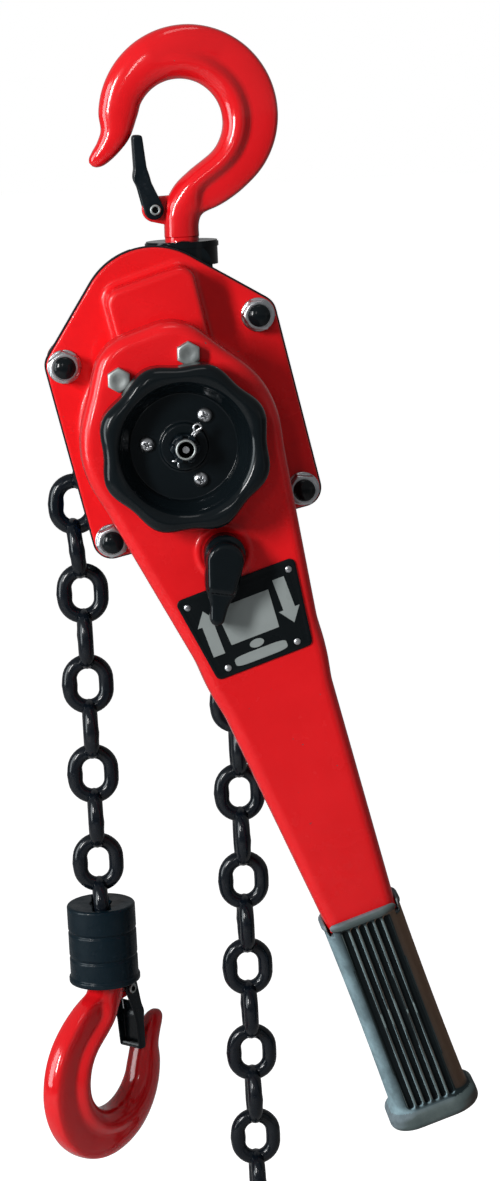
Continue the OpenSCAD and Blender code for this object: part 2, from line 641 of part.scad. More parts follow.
module pawl_springs() color(steel) in_body() for (p = pawls) {
    y0 = ratchet_y0 - 0.9;
    wire(concat([[p[0] + 3.1, y0 + 0.05, p[1] - 9]],
        [for (k = [0 : 16]) [p[0] + 3.1 * cos(-45 * k), y0 - 1.25 * k / 8,
        p[1] + 3.1 * sin(-45 * k)]], [[p[0] + 3.2, y0 - 2.6, p[1] + 7]]), 0.4);
}

// ---- lever ---------------------------------------------------------------------------------
module lever_outline(d = 0) {
    round_hull([[0, 0, head_r - d], [shoulder_x, shoulder_z, shoulder_r - d],
        [-shoulder_x, shoulder_z, shoulder_r - d]]);
    round_hull([[0, 0, head_r - d], [0, -waist_z, waist_r - d]]);
    intersection() {
        round_hull([[0, -waist_z, waist_r - d], [0, -wrist_z, wrist_r - d]]);
        translate([-2 * waist_r, run_gap - grip_z0]) square([4 * waist_r, grip_z0]);
    }
    round_hull([[0, -tang_z0, tang_r - d], [0, -tang_z1, tang_tip - d]]);
}
shoulder_x = 8;
shoulder_z = 35;
shoulder_r = 23.5;
// the tang carries the grip: its start, its end and the radius at each
tang_z0 = 240;
tang_z1 = 350;
tang_r = 14.5;
tang_tip = 13;
head_bolt_x = 17.8;
head_bolt_z = 40;
head_bolts = [[-head_bolt_x, head_bolt_z], [head_bolt_x, head_bolt_z]];
head_bolt_r = 2.95;
head_bolt_hex = 5.6;
head_bolt_h = 5;
head_post_r = 6;
rivet_r = 1.18;
rivet_head_r = 2;
selector_r = 4;
// every cutter through the lever starts this far forward
cut_far = lever_front - 7;
plate_top = 74.6;
plate_low = 113.2;
plate_half = 27.8;
plate_foot = 22.4;
plate_corner = 3;
nameplate_t = 0.8;
rivet_head_h = 0.9;
rivets = [[1.5 - plate_half, -plate_top - 1.9], [plate_half - 1.2, -plate_top - 1.9],
    [plate_foot - 4.2, 1.2 - plate_low], [4.2 - plate_foot, 1.2 - plate_low]];
boss_r = 21;
module lever_rear() color(red) in_lever() { rear_shell(); detent_seat(); }
module rear_shell() difference() {
    slab(lever_seam, lever_back) lever_outline();
    slab(lever_seam - 1, lever_back - shell_t) difference() {
        lever_outline(shell_t);
        for (b = head_bolts) translate(b) circle(head_post_r);
    }
    rod(0, 0, collar_r + 0.1, cut_far, 0);
    for (b = head_bolts) rod(b[0], b[1], head_bolt_r + 0.05, cut_far, 0);
    rod(0, -selector_z, selector_r + 0.06, cut_far, 0);
}
module lever_front() color(red) in_lever() difference() {
    slab(lever_front, lever_seam) lever_outline();
    slab(lever_front + shell_t, lever_seam + 1) difference() {
        lever_outline(shell_t);
        for (b = head_bolts) translate(b) circle(head_post_r);
    }
    rod(0, 0, boss_r + 0.4, cut_far, 0);
    for (b = head_bolts) rod(b[0], b[1], head_bolt_r + 0.05, cut_far, 0);
    for (r = rivets) rod(r[0], r[1], rivet_r + 0.02, cut_far, 0);
    rod(0, -selector_z, selector_r + 0.06, cut_far, 0);
}
module lever_bolts() color(steel) in_lever() for (b = head_bolts) {
    rod(b[0], b[1], head_bolt_r, lever_front, lever_back);
    slab(lever_front - head_bolt_h, lever_front) translate(b) rotate(11) hexagon(head_bolt_hex);
}
module nameplate() color(black) in_lever() slab(lever_front - nameplate_t, lever_front) difference() {
    round_hull([[-plate_foot, -plate_low, plate_corner], [plate_foot, -plate_low, plate_corner],
        [plate_half, -plate_top, plate_corner], [-plate_half, -plate_top, plate_corner]]);
    for (r = rivets) translate(r) circle(rivet_r + 0.02);
}
module plate_rivets() color(steel) in_lever() for (r = rivets) {
    rod(r[0], r[1], rivet_r, lever_front - nameplate_t, lever_front + shell_t);
    rod(r[0], r[1], rivet_head_r, lever_front - nameplate_t - rivet_head_h, lever_front - nameplate_t);
}
grip_y = (lever_front + lever_back) / 2;
rib_pitch = 4.4;
rib_gap = 2.8;
rib_deep = 2;
rib_foot = 17;
module grip_section(w, d, r) {
    round_hull([[r - w / 2, r - d / 2, r], [w / 2 - r, r - d / 2, r], [w / 2 - r, d / 2 - r, r],
        [r - w / 2, d / 2 - r, r]]);
}
module grip() color(dark) in_lever() difference() {
    union() {
        translate([0, grip_y, -grip_z1]) linear_extrude(grip_z1 - grip_z0) grip_section(grip_w, grip_d, 12);
        translate([0, grip_y, -grip_z1]) linear_extrude(grip_flange) grip_section(grip_w + 7, grip_d + 7, 14);
        translate([0, grip_y, -grip_z0 - 3]) linear_extrude(3) grip_section(grip_w + 1.6, grip_d + 1.6, 12.5);
    }
    slab(lever_front, lever_back) lever_outline();
    for (k = [-2.5 : 1 : 2.5])
        translate([k * rib_pitch - rib_gap / 2, grip_y - grip_d / 2 - 1, rib_foot - grip_z1])
            cube([rib_gap, 1 + rib_deep, grip_z1 - grip_z0 - rib_foot - 10]);
}
module selector_knob() color(black) at_selector() {
    rod(0, 0, 10, lever_front - 11, lever_front - 0.4);
    slab(lever_front - 17, lever_front - 5) round_hull([[0, -2, 6.5], [0, -31, 3.4]]);
    rod(0, 0, 7.5, lever_front - 14, lever_front - 11);
}
module at_selector() { in_lever() translate([0, 0, -selector_z]) rotate([0, selector_turn, 0]) children(); }
module selector_shaft() color(steel) at_selector() rod(0, 0, selector_r, lever_front - 0.4, lever_back - 0.2);
catch_r = 32.1;
catch_hub = 7;
catch_tip = 2.5;
catch_spread = 28;
module selector_pawl() color(steel) at_selector() slab(gear_y0, gear_y1) difference() {
    union() {
        round_hull([[0, 0, catch_hub], polar3(catch_r, 90 + catch_spread, catch_tip)]);
        round_hull([[0, 0, catch_hub], polar3(catch_r, 90 - catch_spread, catch_tip)]);
    }
    circle(selector_r);
}
function polar3(r, a, q) = [r * cos(a), r * sin(a), q];
// the detent: a sprung ball-ended plunger whose stem runs in a seat on the rear shell
detent_y = -54.2;
detent_r = 3;
detent_z = selector_z + 10.4;
detent_body = 7;
detent_stem_r = 1.4;
detent_stem_room = 0.2;
detent_turns = 8;
detent_pitch = 1.55;
detent_coil_r = 2.4;
detent_wire = 0.45;
spring_room = 0.05;
seat_t = 4;
seat_w = 10;
spring_top = detent_z + detent_body + detent_wire + spring_room;
spring_end = spring_top + detent_turns * detent_pitch + detent_wire;
seat_top = spring_end + 3 * spring_room;
stem_end = seat_top + 1.5;
module detent_plunger() color(steel) in_lever() translate([0, detent_y, 0]) {
    translate([0, 0, -detent_z]) sphere(detent_r);
    translate([0, 0, -detent_z - detent_body]) cylinder(r = detent_r, h = detent_body);
    translate([0, 0, -stem_end]) cylinder(r = detent_stem_r, h = stem_end - detent_z - detent_body + 1);
}
module detent_spring() color(steel) in_lever() translate([0, detent_y, -spring_top])
    wire([for (k = [0 : detent_turns * 8])
        [detent_coil_r * cos(45 * k), detent_coil_r * sin(45 * k), -detent_pitch * k / 8]], detent_wire);
echo(gap_detent_spring = detent_pitch - 2 * detent_wire);
module detent_seat() difference() {
    translate([-seat_w / 2, lever_seam + 0.5, -seat_top - seat_t])
        cube([seat_w, lever_back - shell_t - lever_seam - 0.4, seat_t]);
    translate([0, detent_y, -seat_top - seat_t - 1])
        cylinder(r = detent_stem_r + detent_stem_room, h = seat_t + 2);
}

// ---- hand wheel ----------------------------------------------------------------------------
gear_y0 = -57.5;
gear_y1 = -51;
module change_gear() color(steel) at_axis() difference() {
    union() {
        turned([[6.05, press_y - 0.3], [disc_out, press_y - 0.3],
            [disc_out, press_y - 3.3], [17, press_y - 3.3],
            [17, gear_y1], [17, gear_y0], [boss_r, gear_y0], [boss_r, wheel_back], [6.05, wheel_back]]);
        slab(gear_y0, gear_y1) difference() {
            circle(22);
            for (k = [0 : 15]) rotate(22.5 * k + 7) translate([22, 0]) circle(2.4);
            circle(10);
        }
    }
    for (s = wheel_screw_at) rod(s[0], s[1], 2, wheel_back - 1, wheel_back + 9);
}
screw_ring = 18;
screw_turn = 54;
wheel_screw_at = [for (k = [0 : 2]) screw_ring * [cos(screw_turn + 120 * k), sin(screw_turn + 120 * k)]];
wheel_floor = -83;
lobe_turn = 1.9;
lobe_steps = 160;
module lobed() polygon([for (i = [0 : lobe_steps - 1]) let (a = 360 * i / lobe_steps,
    r = wheel_r - scallop / 2 * (1 + cos(wheel_lobes * a))) [r * cos(a), r * sin(a)]]);
module hand_wheel() color(black) at_axis() difference() {
    union() {
        slab(wheel_front, wheel_back - 2.5) rotate(lobe_turn) lobed();
        rod(0, 0, 22, wheel_back - 2.6, wheel_back);
    }
    turned([[0, wheel_front - 1], [33.5, wheel_front - 1], [32, -94], [26.6, -86.5], [26, wheel_floor],
        [11.5, wheel_floor], [11.5, -85.9], [0, -85.9]]);
    turned([[24, wheel_back], [35.5, wheel_back], [35.5, -82], [29.5, -80.5]]);
    rod(0, 0, 6.4, -120, 0);
    for (s = wheel_screw_at) rod(s[0], s[1], 2.1, wheel_front, wheel_back + 5);
}
module wheel_screws() color(steel) at_axis() for (s = wheel_screw_at) {
    rod(s[0], s[1], 2, wheel_floor, wheel_back + 8);
    rod(s[0], s[1], 3.6, wheel_floor - 2.6, wheel_floor);
}
module castle_nut() color(dark) difference() {
    at_axis() slab(-94, -86.2) difference() { hexagon(7.6); circle(5.02); }
    split_hole();
}
module split_pin() color(steel) at_axis() translate([0, split_y, 0]) rotate([0, 90 - split_a, 0]) {
    translate([0, 0, -9.5]) cylinder(r = 1.1, h = 20);
    translate([0, 0, 11.5]) rotate([90, 0, 0]) rotate_extrude() translate([1.9, 0]) circle(0.8);
}

// ---- choice of node ------------------------------------------------------------------------
front_plate();
rear_plate();
bearings();
brake_cover();
gear_case();
stay_bolts();
stay_nuts();
spacers();
chain_guide();
stripper();
slack_bar();
top_pin();
load_sheave();
load_gear();
wrapped_chain();
drive_shaft();
gear_upper();
gear_lower();
castle_nut();
split_pin();
friction_hub();
friction_discs();
ratchet_disc();
pawl_upper();
pawl_lower();
pawl_pins();
pawl_springs();
change_gear();
hand_wheel();
wheel_screws();
lever_front();
lever_rear();
lever_bolts();
nameplate();
plate_rivets();
grip();
detent_plunger();
detent_spring();
selector_knob();
selector_shaft();
selector_pawl();
yoke_front();
yoke_rear();
yoke_screws();
top_hook();
top_latch();
top_latch_pin();
top_latch_spring();
load_chain();
block_front();
block_rear();
block_screws();
eye_pin();
bottom_hook();
bottom_latch();
bottom_latch_pin();
bottom_latch_spring();
tail_chain();
end_ring();
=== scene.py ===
"""Come along winch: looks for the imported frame. Metres, same frame as the CAD."""
import json
import math
import bpy
import numpy as np
from mathutils import Matrix, Vector


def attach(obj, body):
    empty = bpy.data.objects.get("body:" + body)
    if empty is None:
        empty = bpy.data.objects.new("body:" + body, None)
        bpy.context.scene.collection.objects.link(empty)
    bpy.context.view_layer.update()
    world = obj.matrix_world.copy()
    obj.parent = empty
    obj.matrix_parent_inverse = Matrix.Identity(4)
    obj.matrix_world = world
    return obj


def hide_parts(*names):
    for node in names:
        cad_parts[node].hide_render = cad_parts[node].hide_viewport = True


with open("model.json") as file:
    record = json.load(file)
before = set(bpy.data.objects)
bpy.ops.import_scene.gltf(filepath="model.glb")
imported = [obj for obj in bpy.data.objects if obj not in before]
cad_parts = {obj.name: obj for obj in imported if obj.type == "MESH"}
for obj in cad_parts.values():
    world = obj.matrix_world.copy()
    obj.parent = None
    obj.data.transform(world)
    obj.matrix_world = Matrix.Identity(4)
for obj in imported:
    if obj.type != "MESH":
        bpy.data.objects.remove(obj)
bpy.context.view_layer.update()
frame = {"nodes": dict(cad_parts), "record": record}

NODES = frame["nodes"]
RECORD = frame["record"]
BODY_OF = {n: body for body, nodes in RECORD["behaviour"]["bodies"].items() for n in nodes}
MM = 0.001


def turn(degrees):
    """Cosine and sine."""
    return math.cos(math.radians(degrees)), math.sin(math.radians(degrees))


# ---- shared sizes, millimetres, the same as the CAD's ----
AXIS = (-10.7, -173.1)
BODY_LEAN = 12.0
LEVER_LEAN = 17.8
LEVER_FRONT, LEVER_SEAM, LEVER_BACK = -73.0, -59.5, -46.0
LOAD_X = -61.3

# ---- solid modelling by distance fields ----
# Each field gives the distance in mm from a surface, below nought inside it. A pair of roundings
# is for the low and the high end of y (or of the direction that stands for y).
FAR = 1e9
TAN_30, COS_30 = 0.577, 0.866


def disc(x, z, cx, cz, r):
    return np.hypot(x - cx, z - cz) - r


def spots(x, z, centres, r):
    """Distance from the nearest of several discs of one size."""
    return np.minimum.reduce([disc(x, z, cx, cz, r) for cx, cz in centres])


def bar(x, z, a, b):
    """Distance from the outline round two circles (x, z, r) and their tangents."""
    dx, dz = b[0] - a[0], b[1] - a[1]
    length = math.hypot(dx, dz)
    ux, uz = dx / length, dz / length
    along = (x - a[0]) * ux + (z - a[1]) * uz
    across = np.abs(-(x - a[0]) * uz + (z - a[1]) * ux)
    s = (a[2] - b[2]) / length
    c = math.sqrt(max(1e-9, 1 - s * s))
    k = -s * across + c * along
    side = across * c + along * s - a[2]
    return np.where(k < 0, np.hypot(across, along) - a[2],
                    np.where(k > c * length, np.hypot(across, along - length) - b[2], side))


def polygon(x, z, pts):
    d = np.full(np.broadcast(x, z).shape, FAR)
    inside = np.zeros(d.shape, bool)
    for (ax, az), (bx, bz) in zip(pts, pts[1:] + pts[:1]):
        ex, ez = bx - ax, bz - az
        t = np.clip(((x - ax) * ex + (z - az) * ez) / (ex * ex + ez * ez), 0, 1)
        d = np.minimum(d, np.hypot(x - ax - ex * t, z - az - ez * t))
        if az != bz:
            crosses = ((az > z) != (bz > z)) & (x < (bx - ax) * (z - az) / (bz - az) + ax)
            inside ^= crosses
    return np.where(inside, -d, d)


def outline(x, z, circles):
    """Distance from the convex outline round a loop of circles (x, z, r)."""
    d = polygon(x, z, [(c[0], c[1]) for c in circles]) if len(circles) > 2 else FAR
    for a, b in zip(circles, circles[1:] + circles[:1]):
        d = np.minimum(d, bar(x, z, a, b))
    return d


def merge(a, b, k=0.0):
    """Union with a fillet about k wide."""
    if k <= 0:
        return np.minimum(a, b)
    h = np.maximum(k - np.abs(a - b), 0) / k
    return np.minimum(a, b) - h * h * k / 4


def cut(a, b, k=0.0):
    """a less b, with a rounded edge about k wide."""
    return -merge(-a, b, k)


def common(a, b, k=0.0):
    """What a and b share, with a rounded edge about k wide."""
    return -merge(-a, -b, k)


def slab(d, y, y0, y1, r=0.0):
    """A drawing's distance d made solid from y0 to y1, its edges rounded by r."""
    if not hasattr(r, "__len__"):
        r = (r, r)
    mid, half = (y0 + y1) / 2, (y1 - y0) / 2
    rr = np.where(y < mid, r[0], r[1])
    a, b = d + rr, np.abs(y - mid) - half + rr
    return np.minimum(np.maximum(a, b), 0) + np.hypot(np.maximum(a, 0), np.maximum(b, 0)) - rr


def hexagon(x, z, r, lean=0.0):
    """Regular hexagon, r from its middle to a corner."""
    d = -FAR
    for k in range(3):
        c, s = turn(lean + 60 * k + 30)
        d = np.maximum(d, np.abs(x * c + z * s))
    return d - r * turn(30)[0]


CORNERS = np.array([(m & 1, m >> 1 & 1, m >> 2 & 1) for m in range(8)], float)
EDGES = [(a, b) for a in range(8) for b in range(a + 1, 8) if bin(a ^ b).count("1") == 1]


def corner(grid, m):
    """A grid's values at corner m of every cell."""
    return grid[tuple(slice(m >> i & 1, grid.shape[i] - 1 + (m >> i & 1)) for i in range(3))]


def cell_points(values, cells):
    """The mean of the surface's crossings with each cell's edges, counted in cells."""
    at = [corner(values, m)[tuple(cells.T)] for m in range(8)]
    total, hits = np.zeros((len(cells), 3)), np.zeros(len(cells))
    for a, b in EDGES:
        hit = (at[a] < 0) != (at[b] < 0)
        t = np.where(hit, at[a] / np.where(hit, at[a] - at[b], 1), 0)
        total += hit[:, None] * (CORNERS[a] + t[:, None] * (CORNERS[b] - CORNERS[a]))
        hits += hit
    return cells + total / hits[:, None]


def facing_quads(inside, index):
    """Quads round every grid edge that the surface crosses, wound to face outwards."""
    quads = []
    for ax in range(3):
        first, second = [slice(None)] * 3, [slice(None)] * 3
        first[ax], second[ax] = slice(0, -1), slice(1, None)
        e = np.argwhere(inside[tuple(first)] != inside[tuple(second)])
        o1, o2 = (ax + 1) % 3, (ax + 2) % 3
        for o in (o1, o2):
            e = e[(e[:, o] > 0) & (e[:, o] < inside.shape[o] - 1)]
        ring = []
        for d1, d2 in ((1, 1), (0, 1), (0, 0), (1, 0)):
            c = e.copy()
            c[:, o1] -= d1
            c[:, o2] -= d2
            ring.append(index[tuple(c.T)])
        q = np.stack(ring, 1)
        turned = ~inside[tuple(first)][tuple(e.T)]
        q[turned] = q[turned][:, ::-1]
        quads.append(q)
    return np.concatenate(quads)


def skin(field, lo, hi, step):
    """Vertices and quads of a field's zero surface inside a box (surface nets)."""
    axes = [np.arange(lo[i] - 2 * step, hi[i] + 3 * step, step) for i in range(3)]
    grid = np.meshgrid(*axes, indexing="ij", sparse=True)
    values = np.broadcast_to(field(*grid), [len(a) for a in axes]).astype(np.float32)
    inside = values < 0
    count = sum(corner(inside, m).astype(np.int8) for m in range(8))
    cells = np.argwhere((count > 0) & (count < 8))
    index = np.full(count.shape, -1, np.int64)
    index[tuple(cells.T)] = np.arange(len(cells))
    points = np.array([a[0] for a in axes]) + step * cell_points(values, cells)
    return relax(field, points, step), facing_quads(inside, index)


def relax(field, points, step):
    """Moves each point on to the true surface, never by more than a third of a cell."""
    probe, least_slope = step * 0.05, 0.5
    for _ in range(2):
        slope = np.stack([(field(*(points + way).T) - field(*(points - way).T)) / (2 * probe)
                          for way in probe * np.eye(3)], 1)
        size = np.maximum((slope ** 2).sum(1), least_slope ** 2)
        move = -slope * (field(*points.T) / size)[:, None]
        far = np.maximum(np.linalg.norm(move, axis=1) / (step / 3), 1)
        points = points + move / far[:, None]
    return points


# ---- frames and meshes ----
def leaning(angle, points):
    """From a frame on the main axis that leans by angle to the model's millimetres."""
    c, s = turn(angle)
    x, y, z = points.T
    return np.stack([AXIS[0] + x * c - z * s, y, AXIS[1] + x * s + z * c], 1)


def plain(points):
    return points


def upright(points):
    return leaning(0, points)


def in_body(points):
    return leaning(BODY_LEAN, points)


def in_lever(points):
    return leaning(LEVER_LEAN, points)


def linked(name, data):
    obj = bpy.data.objects.new(name, data)
    bpy.context.scene.collection.objects.link(obj)
    return obj


def mesh_object(name, points, faces, material, smooth=True):
    me = bpy.data.meshes.new(name)
    me.from_pydata((points * MM).tolist(), [], faces.tolist() if hasattr(faces, "tolist") else faces)
    me.polygons.foreach_set("use_smooth", [smooth] * len(me.polygons))
    me.materials.append(material)
    return linked(name, me)


def bridged(n, m, closed=False):
    """Quads between m rings of n points each, with end caps or closed into a loop."""
    faces = [(i * n + k, i * n + (k + 1) % n, (i + 1) % m * n + (k + 1) % n, (i + 1) % m * n + k)
             for i in range(m if closed else m - 1) for k in range(n)]
    ends = [tuple(range(n - 1, -1, -1)), tuple((m - 1) * n + k for k in range(n))]
    return faces if closed else faces + ends


def drafted(step):
    """A grid's step, as given."""
    return step * 1


def form(name, field, lo, hi, step, material, place=plain):
    points, quads = skin(field, lo, hi, drafted(step))
    return mesh_object(name, place(points), quads, material)


def zoned_form(name, field, lo, hi, step, materials, zone, place):
    """A form whose faces take the material that zone(x, y, z) counts at their middles."""
    points, quads = skin(field, lo, hi, drafted(step))
    obj = mesh_object(name, place(points), quads, materials[0])
    for material in materials[1:]:
        obj.data.materials.append(material)
    obj.data.polygons.foreach_set("material_index", zone(*points[quads].mean(1).T).astype(np.int32))
    return obj


def put(obj, node, also=()):
    """The piece stands for a CAD node, or for several, and moves with their body."""
    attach(obj, BODY_OF[node])
    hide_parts(node, *also)


def add(obj, node):
    """The piece adds to a CAD node, which stays in view, and moves with its body."""
    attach(obj, BODY_OF[node])


# ---- camera ----
CAMERA_AT = (-91.24, -1329.93, -2.1)
CAMERA_TO = (25.12, 0.0, -261.6)
CAMERA_ROLL = -2.6
FOCAL_PX = 2624.8
IMAGE_PX = (500, 1181)
SENSOR = 36.0
CLIP = (0.05, 20)


def make_camera():
    at, to = Vector(CAMERA_AT), Vector(CAMERA_TO)
    forward = (to - at).normalized()
    right = forward.cross(Vector((0, 0, 1))).normalized()
    up = right.cross(forward)
    a = math.radians(CAMERA_ROLL)
    r = right * math.cos(a) + up * math.sin(a)
    u = up * math.cos(a) - right * math.sin(a)
    cam = bpy.data.cameras.new("camera")
    cam.sensor_fit, cam.sensor_height = "VERTICAL", SENSOR
    cam.lens = FOCAL_PX / IMAGE_PX[1] * SENSOR
    cam.clip_start, cam.clip_end = CLIP
    obj = linked("camera", cam)
    m = Matrix((r, u, -forward)).transposed().to_4x4()
    m.translation = at * MM
    obj.matrix_world = m
    bpy.context.scene.camera = obj


# ---- light ----
# Name, place and size in metres, watts, colour, and whether only reflections show it.
WHITE = (1, 1, 1)
LAMPS = [("key", (-1.15, -1.05, 0.28), (0.22, 0.6), 27, WHITE, False),
         ("front", (-0.4, -1.5, 0.35), (0.1, 0.36), 1.8, WHITE, False),
         ("fill", (1.15, -0.9, -0.25), (0.5, 0.9), 0.35, (0.96, 0.98, 1.0), False),
         ("top", (0.05, -0.35, 1.0), (0.4, 0.3), 1.3, WHITE, False),
         ("side_sheen", (-1.4, -0.4, 0.0), (0.6, 1.2), 24.0, (0.9, 0.97, 1.0), True)]
LAMPS_AIM = (0.0, 0.0, -0.25)
SKY_COLOUR, SKY_STRENGTH = (0.78, 0.8, 0.84, 1), 0.1
SKY_MIRRORED, FLOOR_MIRRORED = 0.3, 0.1
FLOOR_BASE, FLOOR_GLOW = 0.7, 0.93
FLOOR_Z, FLOOR_HALF = -0.78, 60.0


def make_lights():
    for name, at, size, power, colour, only_gloss in LAMPS:
        lamp = bpy.data.lights.new(name, "AREA")
        lamp.shape, lamp.size, lamp.size_y = "RECTANGLE", size[0], size[1]
        lamp.energy, lamp.color = power, colour
        obj = linked(name, lamp)
        obj.location = at
        obj.rotation_euler = (Vector(LAMPS_AIM) - Vector(at)).to_track_quat("-Z", "Y").to_euler()
        obj.visible_diffuse = not only_gloss


def join(tree, *pairs):
    for source, socket in pairs:
        tree.links.new(source, socket)


def give(node, values):
    for key, value in values.items():
        node.inputs[key].default_value = value


def seen_directly(tree, mirrored):
    """1 for rays from the camera or through glass, a share for mirrored rays, 0 for diffuse ones."""
    path = tree.nodes.new("ShaderNodeLightPath")
    glossy = tree.nodes.new("ShaderNodeMath")
    glossy.operation = "MULTIPLY"
    tree.links.new(path.outputs["Is Glossy Ray"], glossy.inputs[0])
    glossy.inputs[1].default_value = mirrored
    total = path.outputs["Is Camera Ray"]
    for part in (glossy.outputs[0], path.outputs["Is Transmission Ray"]):
        plus = tree.nodes.new("ShaderNodeMath")
        plus.operation, plus.use_clamp = "ADD", True
        join(tree, (total, plus.inputs[0]), (part, plus.inputs[1]))
        total = plus.outputs[0]
    return total


def make_world():
    world = bpy.data.worlds.new("sky")
    bpy.context.scene.world = world
    world.use_nodes = True
    t = world.node_tree
    t.nodes.clear()
    out = t.nodes.new("ShaderNodeOutputWorld")
    mix = t.nodes.new("ShaderNodeMixShader")
    soft, white = t.nodes.new("ShaderNodeBackground"), t.nodes.new("ShaderNodeBackground")
    give(soft, {"Color": SKY_COLOUR, "Strength": SKY_STRENGTH})
    give(white, {"Color": (*WHITE, 1), "Strength": 1.0})
    join(t, (seen_directly(t, SKY_MIRRORED), mix.inputs[0]), (soft.outputs[0], mix.inputs[1]),
         (white.outputs[0], mix.inputs[2]), (mix.outputs[0], out.inputs[0]))


# ---- materials ----
# Scales of noise are in waves for each metre, bumps in metres.
class Shader:
    """A node material around one Principled shader, with a few ways to layer noise on it."""

    def __init__(self, name):
        self.mat = bpy.data.materials.new(name)
        self.mat.use_nodes = True
        self.t = self.mat.node_tree
        self.bsdf = self.t.nodes["Principled BSDF"]
        self.coord = self.t.nodes.new("ShaderNodeTexCoord")

    def set(self, **values):
        give(self.bsdf, {key.replace("_", " "): value for key, value in values.items()})
        return self

    def noise(self, scale, detail=4.0, rough=0.55, stretch=(1, 1, 1)):
        m = self.t.nodes.new("ShaderNodeMapping")
        n = self.t.nodes.new("ShaderNodeTexNoise")
        give(m, {"Scale": stretch})
        give(n, {"Scale": scale, "Detail": detail, "Roughness": rough})
        join(self.t, (self.coord.outputs["Object"], m.inputs[0]), (m.outputs[0], n.inputs["Vector"]))
        return n.outputs["Fac"]

    def grey(self, source, lo, hi, a=0.3, b=0.7):
        """A grey that goes from lo to hi as source goes from a to b."""
        r = self.t.nodes.new("ShaderNodeValToRGB")
        for stop, at, level in zip(r.color_ramp.elements, (a, b), (lo, hi)):
            stop.position, stop.color = at, (level, level, level, 1)
        self.t.links.new(source, r.inputs[0])
        return r.outputs[0]

    def mix(self, fac, a, b):
        m = self.t.nodes.new("ShaderNodeMix")
        m.data_type = "RGBA"
        for key, v in ((0, fac), (6, a), (7, b)):
            if hasattr(v, "is_output"):
                self.t.links.new(v, m.inputs[key])
            else:
                m.inputs[key].default_value = v if key == 0 else (*v, 1)
        return m.outputs[2]

    def edge(self, lo=0.52, hi=0.62):
        g = self.t.nodes.new("ShaderNodeNewGeometry")
        return self.grey(g.outputs["Pointiness"], 0, 1, lo, hi)

    def side_facing(self, way, lo, hi):
        """1 where the surface faces a direction fixed to the piece, 0 where it doesn't."""
        dot = self.t.nodes.new("ShaderNodeVectorMath")
        dot.operation = "DOT_PRODUCT"
        self.t.links.new(self.coord.outputs["Normal"], dot.inputs[0])
        dot.inputs[1].default_value = Vector(way).normalized()
        return self.grey(dot.outputs["Value"], 0, 1, lo, hi)

    def link(self, source, socket):
        self.t.links.new(source, self.bsdf.inputs[socket])
        return self

    def bump(self, source, strength, distance):
        b = self.t.nodes.new("ShaderNodeBump")
        give(b, {"Strength": strength, "Distance": distance})
        join(self.t, (source, b.inputs["Height"]), (b.outputs[0], self.bsdf.inputs["Normal"]))
        return self


def paint(name, base, shade, rough=0.22, coat=0.15, peel=0.25, chip=(0.1, 0.09, 0.09), gloss=0.18):
    s = Shader(name).set(Coat_Weight=coat, Coat_Roughness=0.06, Metallic=0.0, Specular_IOR_Level=gloss)
    colour = s.mix(s.grey(s.noise(18, 5), 0, 1), base, shade)
    specks = s.grey(s.noise(420, 2, 0.5), 0, 0.8, 0.76, 0.8)
    s.link(s.mix(specks, colour, chip), "Base Color")
    s.link(s.grey(s.noise(60, 4), rough - 0.05, rough + 0.1), "Roughness")
    return s.bump(s.noise(900, 2), peel, 0.00006).mat


def metal(name, base, dull, rough=0.3, bump=0.2, scale=160, stretch=(1, 1, 1), metallic=1.0):
    s = Shader(name).set(Metallic=metallic)
    s.link(s.mix(s.grey(s.noise(scale * 0.3, 5), 0, 1), base, dull), "Base Color")
    s.link(s.grey(s.noise(scale, 6, 0.6, stretch), rough - 0.08, rough + 0.16), "Roughness")
    return s.bump(s.noise(scale * 4, 3, 0.6, stretch), bump, 0.00008).mat


def oxide(name, base, worn, rough, coat):
    """Blackened chain and fittings: oily black with rubbed high spots."""
    s = Shader(name).set(Metallic=0.0, Specular_IOR_Level=0.08, Coat_Weight=coat, Coat_Roughness=0.1)
    rub = s.grey(s.noise(240, 6, 0.7), 0, 1, 0.6, 0.78)
    dust = s.grey(s.noise(55, 5), 0, 0.25, 0.5, 0.8)
    colour = s.mix(dust, s.mix(rub, base, worn), (0.03, 0.034, 0.038))
    s.link(colour, "Base Color")
    s.link(s.grey(s.noise(150, 4), rough - 0.12, rough + 0.18), "Roughness")
    return s.bump(s.noise(700, 5, 0.65), 0.35, 0.00012).mat


def rubber(name, base, dusty, left, right, worn):
    """Moulded grip: near black with dust and pale rubbed edges; its left side painted pale as a painted
    sheen, its right side painted warm as painted light.
    """
    s = Shader(name).set(Metallic=0.0, Specular_IOR_Level=0.12)
    dust = s.grey(s.noise(60, 6, 0.7), 0, 0.5, 0.45, 0.75)
    colour = s.mix(dust, base, dusty)
    # Painted sheen: surfaces facing left are painted pale blue-grey, mottled with noise.
    mottled_sheen = s.mix(s.grey(s.noise(95, 5, 0.65), 0, 1, 0.38, 0.62), tuple(c * 0.62 for c in left), left)
    colour = s.mix(s.side_facing((-0.95, 0.1, 0.3), 0.22, 0.66), colour, mottled_sheen)
    # Painted light: surfaces facing right are painted warm brown.
    colour = s.mix(s.side_facing((0.95, -0.25, -0.3), 0.45, 0.85), colour, right)
    colour = s.mix(s.edge(0.53, 0.6), colour, worn)
    s.link(colour, "Base Color")
    s.link(s.grey(s.noise(90, 4), 0.5, 0.8), "Roughness")
    return s.bump(s.noise(800, 4, 0.7), 0.4, 0.00015).mat


